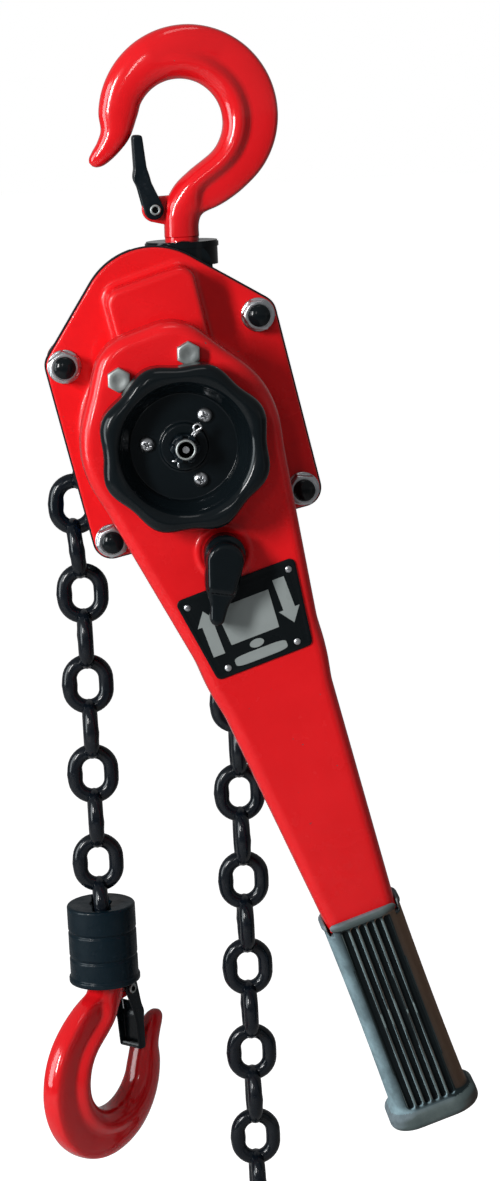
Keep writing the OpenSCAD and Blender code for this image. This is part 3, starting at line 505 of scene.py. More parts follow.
def floor_material():
    """Pale floor: white to the camera and to mirrors, but for the object's shadow."""
    mat = bpy.data.materials.new("floor_white")
    mat.use_nodes = True
    t = mat.node_tree
    bsdf = t.nodes["Principled BSDF"]
    give(bsdf, {"Base Color": (FLOOR_BASE,) * 3 + (1,), "Roughness": 0.9})
    glow = t.nodes.new("ShaderNodeEmission")
    give(glow, {"Color": (*WHITE, 1), "Strength": FLOOR_GLOW})
    both = t.nodes.new("ShaderNodeAddShader")
    mix = t.nodes.new("ShaderNodeMixShader")
    join(t, (bsdf.outputs[0], both.inputs[0]), (glow.outputs[0], both.inputs[1]),
         (seen_directly(t, FLOOR_MIRRORED), mix.inputs[0]), (bsdf.outputs[0], mix.inputs[1]),
         (both.outputs[0], mix.inputs[2]), (mix.outputs[0], t.nodes["Material Output"].inputs[0]))
    return mat


RED = paint("red_enamel", (0.79, 0.01, 0.014), (0.7, 0.007, 0.01))
RED_FORGED = paint("red_forging", (0.78, 0.009, 0.014), (0.66, 0.006, 0.009), 0.16, 0.35, 0.5)
BLACK = paint("black_enamel", (0.003, 0.005, 0.0062), (0.0055, 0.0085, 0.0105), 0.14, 0.14, 0.2,
              (0.015, 0.015, 0.017), 0.08)
PLATE_PRINT = paint("plate_print", (0.003, 0.0048, 0.0058), (0.006, 0.008, 0.009), 0.3, 0.05, 0.1,
                    (0.02, 0.02, 0.02), 0.06)
PLATE_BLACK = paint("black_plate", (0.009, 0.01, 0.012), (0.016, 0.017, 0.02), 0.4, 0.05, 0.3,
                    (0.05, 0.05, 0.05), 0.1)
CHAIN = oxide("chain_black", (0.0028, 0.005, 0.0085), (0.022, 0.028, 0.036), 0.24, 0.3)
FITTING = oxide("fitting_black", (0.003, 0.0065, 0.0095), (0.022, 0.026, 0.032), 0.3, 0.12)
BLOCK_BLACK = oxide("block_black", (0.0018, 0.0085, 0.014), (0.012, 0.022, 0.032), 0.34, 0.08)
ZINC = metal("zinc", (0.46, 0.47, 0.48), (0.28, 0.29, 0.31), 0.28)
BOLT_ZINC = metal("dull_zinc", (0.4, 0.42, 0.41), (0.2, 0.22, 0.22), 0.5, 0.6, 260)
STEEL = metal("ground_steel", (0.42, 0.43, 0.45), (0.3, 0.3, 0.32), 0.32, 0.3, 220, (1, 6, 1))
BLUE = paint("blue_guide", (0.02, 0.12, 0.42), (0.02, 0.09, 0.33), 0.35, 0.1)
PRINT = paint("silver_print", (0.29, 0.32, 0.315), (0.24, 0.27, 0.265), 0.3, 0.1, 0.1, (0.2, 0.2, 0.2))
LINING = metal("lining", (0.2, 0.15, 0.1), (0.12, 0.09, 0.06), 0.8, 0.5, 300, (1, 1, 1), 0.0)
RUBBER = rubber("rubber", (0.009, 0.016, 0.018), (0.03, 0.038, 0.04), (0.27, 0.4, 0.45),
                (0.19, 0.115, 0.075), (0.2, 0.26, 0.26))
# Painted shade: a darker copy of the rubber for the grooves.
RUBBER_GROOVE_SHADE = rubber("rubber_groove_shade", (0.0015, 0.004, 0.005), (0.004, 0.008, 0.009), (0.01, 0.016, 0.018),
                     (0.006, 0.008, 0.008), (0.02, 0.03, 0.03))
RUBBER_PALE = rubber("rubber_rim", (0.075, 0.1, 0.1), (0.15, 0.18, 0.175), (0.2, 0.26, 0.29),
                     (0.09, 0.075, 0.065), (0.24, 0.27, 0.27))
FLOOR = floor_material()
SLOT_MATERIAL = {"red_paint": RED, "black_paint": BLACK, "black_oxide": FITTING, "bright_steel": ZINC,
                 "dark_steel": STEEL, "blue_paint": BLUE, "lining": LINING, "plate_face": PLATE_BLACK,
                 "rubber_grip": RUBBER}
NODE_MATERIAL = {"front_plate": PLATE_BLACK, "rear_plate": PLATE_BLACK, "load_chain": CHAIN,
                 "tail_chain": CHAIN, "wrapped_chain": CHAIN, "top_hook": RED_FORGED,
                 "bottom_hook": RED_FORGED}


# Edge rounds in mm for the CAD nodes that stay in view.
SOFT_EDGES = {"front_plate": 0.5, "rear_plate": 0.5, "yoke_front": 0.9, "yoke_rear": 0.9, "gear_case": 1.6,
              "load_sheave": 0.6, "chain_guide": 0.8, "stripper": 0.8, "top_pin": 0.5}
SOFT_FROM_DEGREES = 35


def dress_frame():
    """Gives every CAD node its material, and softens the edges of those that stay in view."""
    for part in RECORD["subparts"]:
        node = part["node"]
        obj = NODES[node]
        obj.data.materials.clear()
        obj.data.materials.append(NODE_MATERIAL.get(node, SLOT_MATERIAL[part["material_slot"]]))
        for poly in obj.data.polygons:
            poly.use_smooth = True
        if node in SOFT_EDGES:
            b = obj.modifiers.new("edge", "BEVEL")
            b.width, b.segments, b.limit_method = SOFT_EDGES[node] * MM, 3, "ANGLE"
            b.angle_limit, b.harden_normals = math.radians(SOFT_FROM_DEGREES), False
            b.use_clamp_overlap = True


# ---- body covers ----
PLATE_OUT, FLANGE_Y, DRUM_Y, HUMP_Y = -20.5, -22.5, -44.5, -40.0
COVER_T = 2.0
BOLTS = [(-45.3, -45.5), (54.7, -45.5), (54.7, 45.5), (-45.3, 45.5)]
CORNER_R = 9.0
CROWN = (4.0, 55.3, 36.8)
HUMP = [(-9.5, 30, 8), (20, 30, 8), (20.5, 72, 8), (-9.5, 69.5, 8)]
DRUM_R, COLLAR_R, COLLAR_Y = 47.0, 27.0, -48.8
DRUM_DRAFT, HUMP_DRAFT = 0.05, 0.02
DRUM_ROUND, HUMP_ROUND, FLANGE_ROUND = (4.2, 0.2), (2.8, 0.2), (0.9, 0.3)
HUMP_FILLET, FLANGE_FILLET, COLLAR_FILLET = 2.5, 3.5, 1.5
STAY_R = 5.0


def body_outline(x, z):
    corners = [(*p, CORNER_R) for p in BOLTS]
    return outline(x, z, corners[:3] + [CROWN, corners[3]])


def cover_form(x, y, z, back):
    """The drawn cover without its flange: drafted drum and hump with soft shoulders."""
    depth = np.maximum(FLANGE_Y - y, 0)
    drum = slab(disc(x, z, 0, 0, DRUM_R) + DRUM_DRAFT * depth, y, DRUM_Y, back, DRUM_ROUND)
    hump = slab(outline(x, z, HUMP) + HUMP_DRAFT * depth, y, HUMP_Y, back, HUMP_ROUND)
    return merge(drum, hump, HUMP_FILLET)


def cover_field(x, y, z):
    flange = slab(body_outline(x, z), y, FLANGE_Y, PLATE_OUT, FLANGE_ROUND)
    collar = slab(disc(x, z, 0, 0, COLLAR_R), y, COLLAR_Y, DRUM_Y + 4, 0.6)
    solid = merge(merge(cover_form(x, y, z, PLATE_OUT), flange, FLANGE_FILLET), collar, COLLAR_FILLET)
    hollow = np.minimum(cover_form(x, y, z, 0) + COVER_T, disc(x, z, 0, 0, COLLAR_R - 2.5))
    hollow = np.minimum(hollow, spots(x, z, BOLTS, STAY_R + 0.05))
    return cut(common(solid, y - PLATE_OUT), hollow)


def make_brake_cover():
    put(form("brake_cover_skin", cover_field, (-64, COLLAR_Y, -56), (66, PLATE_OUT, 94), 0.8, RED, in_body),
        "brake_cover")


# ---- lever ----
HEAD = (0, 0, 49.0)
SHOULDERS = [(8, 35, 23.5), (-8, 35, 23.5)]
WAIST, WRIST = (0, -118, 30.0), (0, -262, 18.5)
TANG = [(0, -240, 14.5), (0, -350, 13.0)]
ARM_END = -262.0
SHELL_T, HALF_DEPTH, LEVER_DRAFT = 2.5, 13.5, 0.07
OUTER_ROUND, INNER_ROUND = (0.1, 5.6), (0.1, 3.2)
PAST_SEAM = -30
LEVER_BOX = ((-50, -364), (50, 60))
LEVER_BOLTS = [(-17.8, 40), (17.8, 40)]
POST_R, BOLT_HOLE_R, RIVET_HOLE_R, SHAFT_HOLE_R = 6, 3, 1.2, 4.06
RIVETS = [(-26.3, -76.5), (26.6, -76.5), (18.2, -112), (-18.2, -112)]
SELECTOR_Z, SELECTOR_TURN = -57.0, 28.0
BOSS_HOLE_R = 21.4
SEAT_Z, SEAT_HALF, SEAT_R, PLUG_Y, PLUG_R = SELECTOR_Z - 32.9, 3, 2, -54.2, 1.6


def lever_outline(x, z):
    head = merge(outline(x, z, [HEAD, *SHOULDERS]), bar(x, z, HEAD, WAIST), 2)
    arm = common(bar(x, z, WAIST, WRIST), ARM_END - z)
    return merge(merge(head, arm, 6), bar(x, z, *TANG))


def lever_half(x, depth, z, hole, rivets=()):
    """Half of the pressed lever shell, depth counted outwards from its seam."""
    drawing = lever_outline(x, z) + LEVER_DRAFT * np.maximum(depth, 0)
    outer = slab(drawing, depth, PAST_SEAM, HALF_DEPTH, OUTER_ROUND)
    inner = slab(drawing + SHELL_T, depth, PAST_SEAM, HALF_DEPTH - SHELL_T, INNER_ROUND)
    inner = cut(inner, spots(x, z, LEVER_BOLTS, POST_R))
    shell = cut(common(outer, -depth), inner)
    shell = cut(shell, disc(x, z, 0, 0, hole), 1.0)
    holes = np.minimum(spots(x, z, LEVER_BOLTS, BOLT_HOLE_R), disc(x, z, 0, SELECTOR_Z, SHAFT_HOLE_R))
    if rivets:
        holes = np.minimum(holes, spots(x, z, rivets, RIVET_HOLE_R))
    return cut(shell, holes)


def lever_front_field(x, y, z):
    depth = LEVER_SEAM - y
    shell = lever_half(x, depth, z, BOSS_HOLE_R, RIVETS)
    lip = np.hypot(np.hypot(x, z - SELECTOR_Z) - 12.6, depth - HALF_DEPTH + 0.5) - 1.5
    return merge(shell, lip, 1.2)


def lever_rear_field(x, y, z):
    shell = lever_half(x, y - LEVER_SEAM, z, COLLAR_R + 0.1)
    seat = bar(x, z, (-SEAT_HALF, SEAT_Z, SEAT_R), (SEAT_HALF, SEAT_Z, SEAT_R))
    seat = slab(seat, y, LEVER_SEAM + 0.5, LEVER_BACK - SHELL_T + 0.1)
    return np.minimum(shell, cut(seat, np.hypot(x, y - PLUG_Y) - PLUG_R))


def make_lever():
    (x0, z0), (x1, z1) = LEVER_BOX
    put(form("lever_front_skin", lever_front_field, (x0, LEVER_FRONT - 1.5, z0), (x1, LEVER_SEAM, z1), 1.0,
             RED, in_lever), "lever_front")
    put(form("lever_rear_skin", lever_rear_field, (x0, LEVER_SEAM, z0), (x1, LEVER_BACK, z1), 1.25,
             RED, in_lever), "lever_rear")


# ---- fasteners ----
NUT_R, NUT_FLANGE_R, NUT_FRONT, NUT_FLANGE_Y, NUT_BACK = 8.2, 8.5, -30.0, -24.0, -22.55
STAY_END, STAY_CAP_Y, STAY_CAP_R, STAY_CAP_BALL = -31.5, -33.0, 5.7, 8
STAY_HEAD_R, STAY_HEAD_Y, STAY_BACK, THREAD_TO = 7.7, 22.55, 28.5, -22
BOLT_HEAD_R, BOLT_HEAD_H, BOLT_R, DISH_BALL, DISH_R = 6.1, 5, 2.95, 12.4, 3.4
SCREW_HEAD_R, SCREW_HEAD_H, SCREW_BALL, SCREW_R = 3.6, 2.6, 4.9, 2
CROSS_HALF, CROSS_REACH, CROSS_DEEP = 0.5, 1.9, 1.6
CASTLE_R, CASTLE_FRONT, CASTLE_BACK, CASTLE_SLOT_Y, CASTLE_SLOT_HALF = 7.6, -94.0, -86.2, -90.3, 1.35
RIVET_HEAD_R, RIVET_HEAD_H, RIVET_BALL, RIVET_R = 1.75, 0.85, 2.45, 1.17


def chamfer(r, y, face, r_face):
    """Cone that cuts a hexagon's corners back from its front face."""
    return ((face - y) + (r - r_face) * TAN_30) * COS_30


def hex_head(x, y, z, r, front, back, lean=0.0, crown=0.82):
    head = slab(hexagon(x, z, r, lean), y, front, back, 0.25)
    return common(head, chamfer(np.hypot(x, z), y, front, r * crown), 0.3)


def ball(r, y, top, radius):
    """Ball whose foremost point lies on the axis at top."""
    return np.hypot(r, y - top - radius) - radius


def stay_nut_field(x, y, z):
    nut = hex_head(x, y, z, NUT_R, NUT_FRONT, NUT_BACK)
    flange = slab(np.hypot(x, z) - NUT_FLANGE_R, y, NUT_FLANGE_Y, NUT_BACK, 0.5)
    return cut(merge(nut, flange, 0.6), disc(x, z, 0, 0, STAY_R + 0.02), 0.4)


def threaded(r, y, radius, pitch=1.25, height=0.55):
    saw = np.abs((y / pitch) % 1 - 0.5)
    return r - radius + height * saw * (y < THREAD_TO)


def stay_bolt_field(x, y, z):
    r = np.hypot(x, z)
    shank = common(threaded(r, y, STAY_R), np.maximum(STAY_END - y, y - STAY_HEAD_Y - 0.45))
    cap = slab(r - STAY_CAP_R, y, STAY_CAP_Y, NUT_FRONT + 0.1, 0.6)
    cap = common(cap, ball(r, y, STAY_CAP_Y, STAY_CAP_BALL), 0.6)
    head = slab(hexagon(x, z, STAY_HEAD_R), y, STAY_HEAD_Y, STAY_BACK, 0.4)
    return np.minimum(np.minimum(shank, cap), head)


def lever_bolt_field(x, y, z):
    r, top = np.hypot(x, z), LEVER_FRONT - BOLT_HEAD_H
    head = hex_head(x, y, z, BOLT_HEAD_R, top, LEVER_FRONT, 11.0)
    dish = np.maximum(np.hypot(r, y - top + 12) - DISH_BALL, r - DISH_R)
    shank = slab(r - BOLT_R, y, LEVER_FRONT - 0.5, LEVER_BACK, 0.3)
    return np.minimum(cut(head, dish, 0.2), shank)


def cross_screw_field(x, y, z):
    r, top = np.hypot(x, z), WHEEL_FLOOR - SCREW_HEAD_H
    head = common(slab(r - SCREW_HEAD_R, y, top, WHEEL_FLOOR, 0.5), ball(r, y, top, SCREW_BALL), 0.4)
    arms = [np.maximum(np.abs(u) - CROSS_HALF, np.abs(v) - CROSS_REACH) for u, v in ((x, z), (z, x))]
    recess = np.maximum(np.minimum(*arms) + 0.25 * (y - top), y - top - CROSS_DEEP)
    shank = slab(r - SCREW_R, y, WHEEL_FLOOR - 0.5, WHEEL_BACK + 8, 0.2)
    return np.minimum(cut(head, recess, 0.15), shank)


def castle_nut_field(x, y, z):
    nut = hex_head(x, y, z, CASTLE_R, CASTLE_FRONT, CASTLE_BACK, 0.0, 0.84)
    for k in range(3):
        c, s = turn(60 * k + 90 - SPLIT_A)
        across = np.abs(x * s + z * c)
        nut = cut(nut, np.maximum(across - CASTLE_SLOT_HALF, y - CASTLE_SLOT_Y), 0.3)
    return cut(nut, disc(x, z, 0, 0, 5.02))


def plate_rivet_field(x, y, z):
    r, top = np.hypot(x, z), PLATE_FACE - RIVET_HEAD_H
    head = common(slab(r - RIVET_HEAD_R, y, top, PLATE_FACE, 0.1), ball(r, y, top, RIVET_BALL), 0.2)
    return np.minimum(head, slab(r - RIVET_R, y, PLATE_FACE - 0.2, LEVER_FRONT + SHELL_T, 0.1))


def copies(name, field, reach, y0, y1, step, material, centres, node, place, turns=()):
    """One fastener's skin set at each of its places, as one piece."""
    points, quads = skin(field, (-reach, y0, -reach), (reach, y1, reach), drafted(step))
    every = []
    for (cx, cz), (c, s) in zip(centres, map(turn, turns or [0] * len(centres))):
        x, y, z = points.T
        every.append(place(np.stack([x * c - z * s + cx, y, x * s + z * c + cz], 1)))
    faces = [quads + k * len(points) for k in range(len(every))]
    put(mesh_object(name, np.concatenate(every), np.concatenate(faces), material), node)


def make_fasteners():
    copies("stay_nut_skins", stay_nut_field, 8.6, NUT_FRONT, -22.5, 0.4, ZINC, BOLTS, "stay_nuts", in_body,
           (10, 41, -14, 25))
    copies("stay_bolt_skins", stay_bolt_field, STAY_HEAD_R, STAY_CAP_Y, STAY_BACK, 0.5, BLACK, BOLTS,
           "stay_bolts", in_body)
    copies("lever_bolt_skins", lever_bolt_field, 6.2, LEVER_FRONT - BOLT_HEAD_H, LEVER_BACK, 0.4, BOLT_ZINC,
           LEVER_BOLTS, "lever_bolts", in_lever)
    copies("wheel_screw_skins", cross_screw_field, 3.7, -85.7, -68.4, 0.22, ZINC, SCREWS, "wheel_screws",
           upright, (20, 65, -10))
    copies("plate_rivet_skins", plate_rivet_field, 1.8, PLATE_FACE - 0.9, LEVER_FRONT + SHELL_T, 0.2, ZINC,
           RIVETS, "plate_rivets", in_lever)
    copies("castle_nut_skin", castle_nut_field, 7.7, CASTLE_FRONT, CASTLE_BACK, 0.35, FITTING, [(0, 0)],
           "castle_nut", upright)


# ---- hand wheel ----
WHEEL_R, WHEEL_LOBES, SCALLOP, LOBE_TURN = 41.9, 8, 2.8, 1.9
WHEEL_FRONT, WHEEL_BACK, WHEEL_FLOOR = -97.0, -76.5, -83.0
WHEEL_ROUND, WHEEL_BORE_R, HUB_R, STUD_R, SCREW_HOLE_R = (5.6, 2.5), 6.4, 22, 11.5, 2.1
SCREW_RING = 18.0
SCREWS = [(SCREW_RING * c, SCREW_RING * s) for c, s in map(turn, (54, 174, 294))]
SPLIT_A, SPLIT_Y = 57.0, -91.5
# Half sections (radius, y) turned out of the wheel's front and back.
DISH = [(-1, -99), (32.2, -99), (31.2, -95), (30.2, -92), (26.6, -86.5), (26, WHEEL_FLOOR),
        (-1, WHEEL_FLOOR)]
BACK_GROOVE = [(24, -76), (35.5, -76), (35.5, -82), (29.5, -80.5)]


def wheel_field(x, y, z):
    r, a = np.hypot(x, z), np.arctan2(z, x)
    lobes = WHEEL_R - SCALLOP / 2 * (1 + np.cos(WHEEL_LOBES * (a - math.radians(LOBE_TURN))))
    rim = slab(r - lobes, y, WHEEL_FRONT, WHEEL_BACK - 2.5, WHEEL_ROUND)
    solid = merge(rim, slab(r - HUB_R, y, WHEEL_BACK - 4, WHEEL_BACK, 0.4), 1)
    solid = cut(solid, polygon(r, y, DISH), 5.0)
    stud = slab(r - STUD_R, y, WHEEL_FLOOR - 2.9, WHEEL_FLOOR + 1, 0.8)
    solid = cut(merge(solid, stud, 1.0), polygon(r, y, BACK_GROOVE), 0.8)
    return cut(solid, np.minimum(r - WHEEL_BORE_R, spots(x, z, SCREWS, SCREW_HOLE_R)), 0.2)


def make_wheel():
    put(form("hand_wheel_skin", wheel_field, (-42, WHEEL_FRONT, -42), (42, WHEEL_BACK, 42), 0.65, BLACK,
             upright), "hand_wheel")


def tube(path, r, sides=14, closed=False):
    """Round wire along a path of points, as points and quads with capped ends."""
    path = np.asarray(path, float)
    n = len(path)
    ahead = np.roll(path, -1, 0) - np.roll(path, 1, 0) if closed else np.gradient(path, axis=0)
    ahead /= np.linalg.norm(ahead, axis=1)[:, None]
    side = np.cross(ahead[0], (0, 1, 0) if abs(ahead[0][1]) < 0.9 else (1, 0, 0))
    ring = [turn(360 * k / sides) for k in range(sides)]
    points = []
    for p, t, q in zip(path, ahead, np.broadcast_to(r, n)):
        side = side - t * side.dot(t)
        side /= np.linalg.norm(side)
        other = np.cross(t, side)
        points += [p + q * (side * c + other * s) for c, s in ring]
    return np.array(points), bridged(sides, n, closed)


STUD_RIM_R, STUD_CORE_R, STUD_TOP, STUD_CORE_TOP = 4.9, 4.1, -96.5, -96.0


def stud_rim_field(x, y, z):
    r = np.hypot(x, z)
    return cut(slab(r - STUD_RIM_R, y, STUD_TOP, -95.2, 0.5), slab(r - 3.9, y, -98, -95.6, 0.3), 0.4)


def stud_centre_field(x, y, z):
    r = np.hypot(x, z)
    return cut(slab(r - STUD_CORE_R, y, STUD_CORE_TOP, -95.0, 0.1), r + (y - STUD_CORE_TOP) * 0.8 - 1.3, 0.2)


def make_shaft_end():
    """The stud's turned end: a bright chamfer round a dark centre."""
    for name, field, material in (("stud_rim", stud_rim_field, BOLT_ZINC),
                                  ("stud_centre", stud_centre_field, BLACK)):
        add(form(name, field, (-5, -96.6, -5), (5, -95, 5), 0.25, material, upright), "drive_shaft")


PIN_WIRE_R, PIN_EYE_R, PIN_EYE_AT, PIN_EYE_STEPS = 0.62, 1.9, 11.5, 12
# Points along and across the pin, from the bent end of one leg to the eye, and back along the other.
PIN_LEG_OUT = [(-9.4, 2.0), (-8.6, 1.1), (-7.4, 0.62), (-3, 0.55), (4, 0.55), (8.6, 0.55)]
PIN_LEG_BACK = [(8.6, -0.55), (4, -0.55), (-3, -0.55), (-6.4, -0.62), (-7.6, -1.3), (-8.4, -2.4)]


def make_split_pin():
    eye = [turn(310 * k / PIN_EYE_STEPS - 65) for k in range(PIN_EYE_STEPS + 1)]
    eye = [(PIN_EYE_AT - PIN_EYE_R * c, -PIN_EYE_R * s) for c, s in eye]
    c, s = turn(90 - SPLIT_A)
    path = [(v * c + u * s, SPLIT_Y, -v * s + u * c) for u, v in PIN_LEG_OUT + eye + PIN_LEG_BACK]
    points, faces = tube(path, PIN_WIRE_R, 12)
    put(mesh_object("split_pin_skin", upright(points), faces, ZINC), "split_pin")


# ---- grip and selector ----
GRIP_Y, GRIP_TOP, GRIP_END = -59.5, -256.0, -373.0
GRIP_W, GRIP_D, GRIP_R = 41.0, 34.0, 12.0
GROOVE_R, GROOVE_DEEP = 1.5, 2.0
GROOVES_X = [k * 4.4 for k in (-2.5, -1.5, -0.5, 0.5, 1.5, 2.5)]
GROOVE_TOP, GROOVE_END = -261.6, -360.6
FLANGE_H, LIP_H = 9, 3


def rounded_box(x, y, w, d, r):
    a, b = np.abs(x) - w / 2 + r, np.abs(y) - d / 2 + r
    return np.minimum(np.maximum(a, b), 0) + np.hypot(np.maximum(a, 0), np.maximum(b, 0)) - r


def grip_field(x, y, z):
    v = y - GRIP_Y
    waist = 0.5 * np.cos(np.clip((z + 312) / 50, -1, 1) * math.pi / 2)
    stem = slab(rounded_box(x, v, GRIP_W, GRIP_D, GRIP_R) + waist, z, GRIP_END + 2, GRIP_TOP, (0, 1.2))
    flange = rounded_box(x, v, GRIP_W + 7, GRIP_D + 7, GRIP_R + 2)
    flange = slab(flange, z, GRIP_END, GRIP_END + FLANGE_H, (3.6, 3.0))
    lip = rounded_box(x, v, GRIP_W + 1.6, GRIP_D + 1.6, GRIP_R + 0.8)
    lip = slab(lip, z, GRIP_TOP - LIP_H, GRIP_TOP, 1.3)
    solid = merge(merge(stem, flange, 4), lip, 1.2)
    grooves = np.minimum.reduce([bar(x, z, (gx, GROOVE_TOP, GROOVE_R), (gx, GROOVE_END, GROOVE_R - 0.01))
                                 for gx in GROOVES_X])
    solid = cut(solid, np.maximum(grooves, v + GRIP_D / 2 - GROOVE_DEEP), 0.6)
    core = np.maximum(np.maximum(lever_outline(x, z), y - LEVER_BACK), LEVER_FRONT - y)
    return cut(solid, core, 0.4)


def grip_zone(x, y, z):
    """1 in the grooves, which take a darker rubber as painted shade, 2 on the rims at both ends, 0 elsewhere.
    """
    v = y - GRIP_Y
    shaded_grooves = (np.abs(x) < 13) & (v > 0.75 - GRIP_D / 2) & (v < -10) & (z < -259) & (z > -363)
    rims = (z > GRIP_TOP - LIP_H - 0.4) | (z < GRIP_END + FLANGE_H + 0.5)
    return np.where(shaded_grooves, 1, np.where(rims, 2, 0))


def make_grip():
    put(zoned_form("grip_skin", grip_field, (-24.2, GRIP_Y - 20.7, GRIP_END), (24.2, GRIP_Y + 20.7, GRIP_TOP),
                   0.7, (RUBBER, RUBBER_GROOVE_SHADE, RUBBER_PALE), grip_zone, in_lever), "grip")


KNOB_TOP, KNOB_UNDER = LEVER_FRONT - 17, LEVER_FRONT - 5


def knob_field(x, y, z):
    boss = slab(disc(x, z, 0, 0, 10), y, LEVER_FRONT - 11, LEVER_FRONT - 0.4, (1.5, 0.8))
    body = bar(x, z, (0, -2, 9.0), (0, -14, 7.2))
    finger = merge(body, bar(x, z, (0, -10, 6.4), (0, -31, 3.6)), 6)
    handle = slab(finger, y, KNOB_TOP + 2.6, KNOB_UNDER, (2.4, 1.5))
    head = slab(common(body, -18.5 - z, 1.0), y, KNOB_TOP, KNOB_UNDER, (2.6, 1.5))
    return merge(merge(boss, handle, 2.5), head, 0.8)


def on_selector(p):
    """From the selector's own frame, its finger pointing down, to the model's millimetres."""
    c, s = turn(SELECTOR_TURN)
    x, y, z = p.T
    return in_lever(np.stack([x * c + z * s, y, -x * s + z * c + SELECTOR_Z], 1))


def make_knob():
    put(form("selector_knob_skin", knob_field, (-11.5, KNOB_TOP, -35), (11.5, LEVER_FRONT, 11), 0.5, BLACK,
             on_selector), "selector_knob")


# ---- nameplate ----
PLATE = [(-22.4, -113.2, 3), (22.4, -113.2, 3), (27.8, -74.6, 3), (-27.8, -74.6, 3)]
PLATE_FACE = LEVER_FRONT - 0.8
PLATE_BOX_X, PLATE_BOX_Z = 31, (-117, -71)
RIM_IN, RIM_HALF, RIM_H = 1.3, 0.35, 0.15
PANEL = [(-12.6, -101.8), (12.4, -101.8), (13.8, -82.2), (-13.9, -82.2)]
MARKS_OUT, MARKS_IN = PLATE_FACE - 0.14, PLATE_FACE + 0.1


def plate_field(x, y, z):
    d = outline(x, z, PLATE)
    base = slab(d, y, PLATE_FACE, LEVER_FRONT, 0.2)
    rim = slab(np.abs(d + RIM_IN) - RIM_HALF, y, PLATE_FACE - RIM_H, LEVER_FRONT - 0.3, 0.1)
    return cut(np.minimum(base, rim), spots(x, z, RIVETS, RIVET_HOLE_R))


def arrow(cx, cz, way, half=11.8, wide=5.4, shaft=3.0, head=4.3):
    """An arrow's outline, its point up for way 1 and down for way -1."""
    shape = ((-shaft, -half), (shaft, -half), (shaft, head), (wide, head), (0, half), (-wide, head),
             (-shaft, head))
    return [(cx + px, cz + way * pz) for px, pz in shape]


def oval(cx, cz, a, b, n=28, power=1.0):
    """An oval's outline; a power below 1 squares it."""
    return [(cx + a * math.copysign(abs(c) ** power, c), cz + b * math.copysign(abs(s) ** power, s))
            for c, s in (turn(360 * k / n) for k in range(n))]


def raised(shapes, y0, y1):
    """Flat shapes standing from y1 out to y0, without a back."""
    points, faces = [], []
    for s in shapes:
        n, b = len(s), len(points)
        points += [(x, y0, z) for x, z in s] + [(x, y1, z) for x, z in s]
        faces.append(tuple(range(b, b + n)))
        faces += [(b + k, b + n + k, b + n + (k + 1) % n, b + (k + 1) % n) for k in range(n)]
    return np.array(points, float), faces


def make_nameplate():
    put(form("nameplate_skin", plate_field, (-PLATE_BOX_X, PLATE_FACE - 0.2, PLATE_BOX_Z[0]),
             (PLATE_BOX_X, LEVER_FRONT, PLATE_BOX_Z[1]), 0.4, PLATE_PRINT, in_lever), "nameplate")
    shapes = [arrow(-20.0, -92.6, 1), arrow(20.2, -90.6, -1), PANEL, oval(-0.6, -105.3, 3.7, 2.1),
              oval(-0.4, -110.9, 13.6, 2.6, 36, 0.45)]
    points, faces = raised(shapes, MARKS_OUT, MARKS_IN)
    add(mesh_object("nameplate_marks", in_lever(points), faces, PRINT, smooth=False), "nameplate")


# ---- hooks ----
BOWL_R, BACK_R, STEM_R, HOOK_T, STEM_X = 21.5, 45.0, 8.75, 21.0, -1.2
BOWL_C, BACK_C = (0.5, -BOWL_R), (5.0, -18.5)
BUTTON_R, BUTTON_Z0, BUTTON_Z1 = 12.0, -91.4, -84.6
LATCH_P, LATCH_T, LATCH_BEND = (-14.3, -63.8), (-21.4, -28.6), (-20.3, -47.5)
LOW_Z, LOW_SUNK, LOW_SCALE, LOW_TURN, YOKE_Z = -466.0, 8.0, 0.98, 48.0, -80.0
BEAD_AT, WEB_THICK, WEB_END_RING = 0.47, 0.64, 16
RING_STEPS, SECTION_POINTS = 8, 72


def bowl_ring(deg):
    """The section at an angle round the bowl, from the inner circle out to the back's own circle."""
    c, s = turn(deg)
    dx, dz = BACK_C[0] - BOWL_C[0], BACK_C[1] - BOWL_C[1]
    k = dx * c + dz * s
    far = k + math.sqrt(BACK_R ** 2 - dx * dx - dz * dz + k * k)
    mid = (BOWL_R + far) / 2
    thick = HOOK_T / 2 - 2.6 * (max(0, deg - 60) / 110) ** 1.4
    return (BOWL_C[0] + mid * c, BOWL_C[1] + mid * s, (far - BOWL_R) / 2, thick, deg)


# Sections from the neck to the tip: middle x and z, half width, half thickness, degrees they face.
NECK_RINGS = [(-1.2, -78, STEM_R, STEM_R, 0), (-1, -71, STEM_R, STEM_R, -4), (0.5, -64.5, 9.8, 9, -15),
              (6.5, -58.4, 11.9, 9.6, -28), (13.5, -53.2, 12.4, 10.1, -37)]
TIP_RINGS = [(-32, -25.5, 7.5, 7.2, 163), (-36.3, -32.3, 5.8, 6.2, 146), (-40.8, -37, 4.6, 4.9, 132),
             (-43.7, -39.3, 3.1, 3.3, 130), (-45, -40.2, 1.2, 1.3, 130)]
HOOK_RINGS = np.array(NECK_RINGS + [bowl_ring(a) for a in range(-46, 171, 18)] + TIP_RINGS, float)


def smooth_rings(rings, steps):
    """Rings along a smooth curve through the given ones (Catmull-Rom)."""
    out = []
    for i in range(len(rings) - 1):
        a, b, c, d = (rings[min(max(i + j, 0), len(rings) - 1)] for j in (-1, 0, 1, 2))
        for k in range(steps):
            t = k / steps
            out.append(b + t * (c - a) / 2 + t * t * (a - 2.5 * b + 2 * c - d / 2)
                       + t ** 3 * ((d - a) / 2 + 1.5 * (b - c)))
    return out + [rings[-1]]


def share(value, start, span):
    """How far value has come on its way from start, from 0 to 1."""
    return min(1.0, max(0.0, (value - start) / span))


